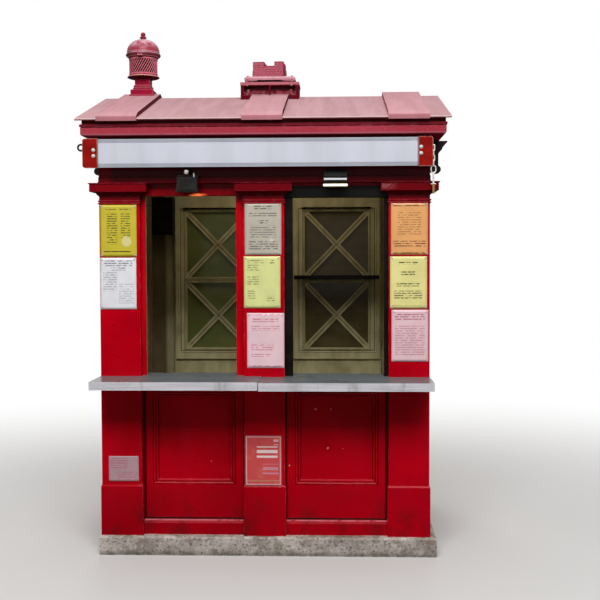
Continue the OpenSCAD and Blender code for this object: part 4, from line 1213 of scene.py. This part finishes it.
def add_light(name, at, aim, size, energy, color=(1, 1, 1), mirrored=True):
    """A rectangular lamp at one point, turned to another; one that isn't mirrored has no reflection."""
    data = bpy.data.lights.new(name, "AREA")
    data.shape = "RECTANGLE"
    data.size, data.size_y = size
    data.energy = energy
    data.color = color
    light = placed(name, data)
    light.visible_glossy = mirrored
    turn = (Vector(aim) - Vector(at)).to_track_quat("-Z", "Y").to_matrix().to_4x4()
    light.matrix_world = Matrix.Translation(at) @ turn


def add_world():
    """Soft light from above and less from below; what the camera, metal and glass see is plain white."""
    world = bpy.data.worlds.new("studio")
    bpy.context.scene.world = world
    world.use_nodes = True
    world.node_tree.nodes.clear()
    sky = Nodes(world.node_tree)
    rise = sky.split(sky.add("ShaderNodeTexCoord").outputs["Generated"])[2]
    soft = sky.add("ShaderNodeBackground")
    sky.plug(soft.inputs["Strength"], sky.ramp(rise, 0.0, 0.8, 0.06, 0.55))
    white = sky.add("ShaderNodeBackground")
    white.inputs["Color"].default_value = (1, 1, 1, 1)
    rays = sky.add("ShaderNodeLightPath").outputs
    seen = sky.either(rays["Is Camera Ray"], rays["Is Glossy Ray"], rays["Is Transmission Ray"])
    mix = sky.add("ShaderNodeMixShader")
    for socket, value in zip(mix.inputs, (seen, soft.outputs[0], white.outputs[0])):
        sky.plug(socket, value)
    sky.plug(sky.add("ShaderNodeOutputWorld").inputs[0], mix.outputs[0])


def add_floor():
    """A pale floor that fades to white away from the kiosk; light that bounces off it is grey."""
    half = 40.0
    mesh = bpy.data.meshes.new("ground")
    corners = [(-half, -half, 0), (half, -half, 0), (half, half, 0), (-half, half, 0)]
    mesh.from_pydata(corners, [], [(0, 1, 2, 3)])
    ground = placed("ground", mesh)
    p = Paint("ground")
    seen = p.add("ShaderNodeLightPath").outputs["Is Camera Ray"]
    far = p.both(seen, p.band(p.math("SQRT", p.squares(p.x, p.y)), 1.8, 6.5))
    p.glow((255, 255, 255), far)
    p.base(seen, (126, 124, 122), p.blend(far, (214, 213, 211), (0, 0, 0)))
    ground.data.materials.append(p.finish(0.9, shine=0.0))


dress_nodes()
for name, x, z, (w, h), ground, mark, blocks, pale in SHEETS:
    add_sheet(name, x, z, w, h, paper_material(name + "_print", ground, mark, blocks, pale))
piece(corner_tapes, "sign_white", 0, clear_tape())
piece(poster, "sign_white", 0, poster_print())
piece(poster_sleeve, "sign_white", 0, clear_sleeve())
piece(sign_bolts, "bright_steel", 40, bolt_white())
piece(castle_stones, "roof_red", 0, stone_red)
piece(cushion_trim, "roof_red", 50)
piece(pedestal_scrolls, "cast_red", 50, scroll_paint())
piece(window_rods, "black_timber", 40)
piece(window_beads, "window_paint", 50)
piece(window_shade_strips, "window_paint", 50, mottled("window_painted_shade", (30, 26, 16), (48, 42, 28), 30, 0.8, 80))
piece(dado_groove_shade, "cast_red", 50, mottled("groove_painted_shade", (40, 0, 7), (58, 0, 10), 24, 0.7, 80, shine=0.0))
piece(lamp_glass, "glass", 0, lamp_lens())
piece(lamp_trim, "lamp_black", 40)
ceramic = mottled("ceramic_white", (214, 212, 206), (236, 234, 228), 30, 0.3, 50, 2, 0.1, 0.001)
piece(lamp_connector, "bright_steel", 40, ceramic)
iron = mottled("black_iron_fittings", (28, 26, 26), (52, 48, 46), 20, 0.4, 90)
piece(door_fittings, "iron_black", 40, iron)
piece(counter_rivets, "bright_steel", 40)
piece(sign_screws, "bright_steel", 40)
add_camera()
add_world()
add_floor()
add_light("sky_front", at=(0.3, -5.8, 6.4), aim=(0.0, -0.5, 1.1), size=(5.0, 3.0), energy=500.0)
add_light("room_lamp", at=(0.0, 0.05, 2.38), aim=(0.0, 0.05, 0.0), size=(1.2, 0.5), energy=3.0,
          color=(1.0, 0.84, 0.62))
add_light("sky_back", at=(-0.5, 7.5, 4.6), aim=(0.0, 0.6, 1.4), size=(6.0, 2.5), energy=330.0, mirrored=False)
bpy.context.scene.view_settings.view_transform = "Standard"
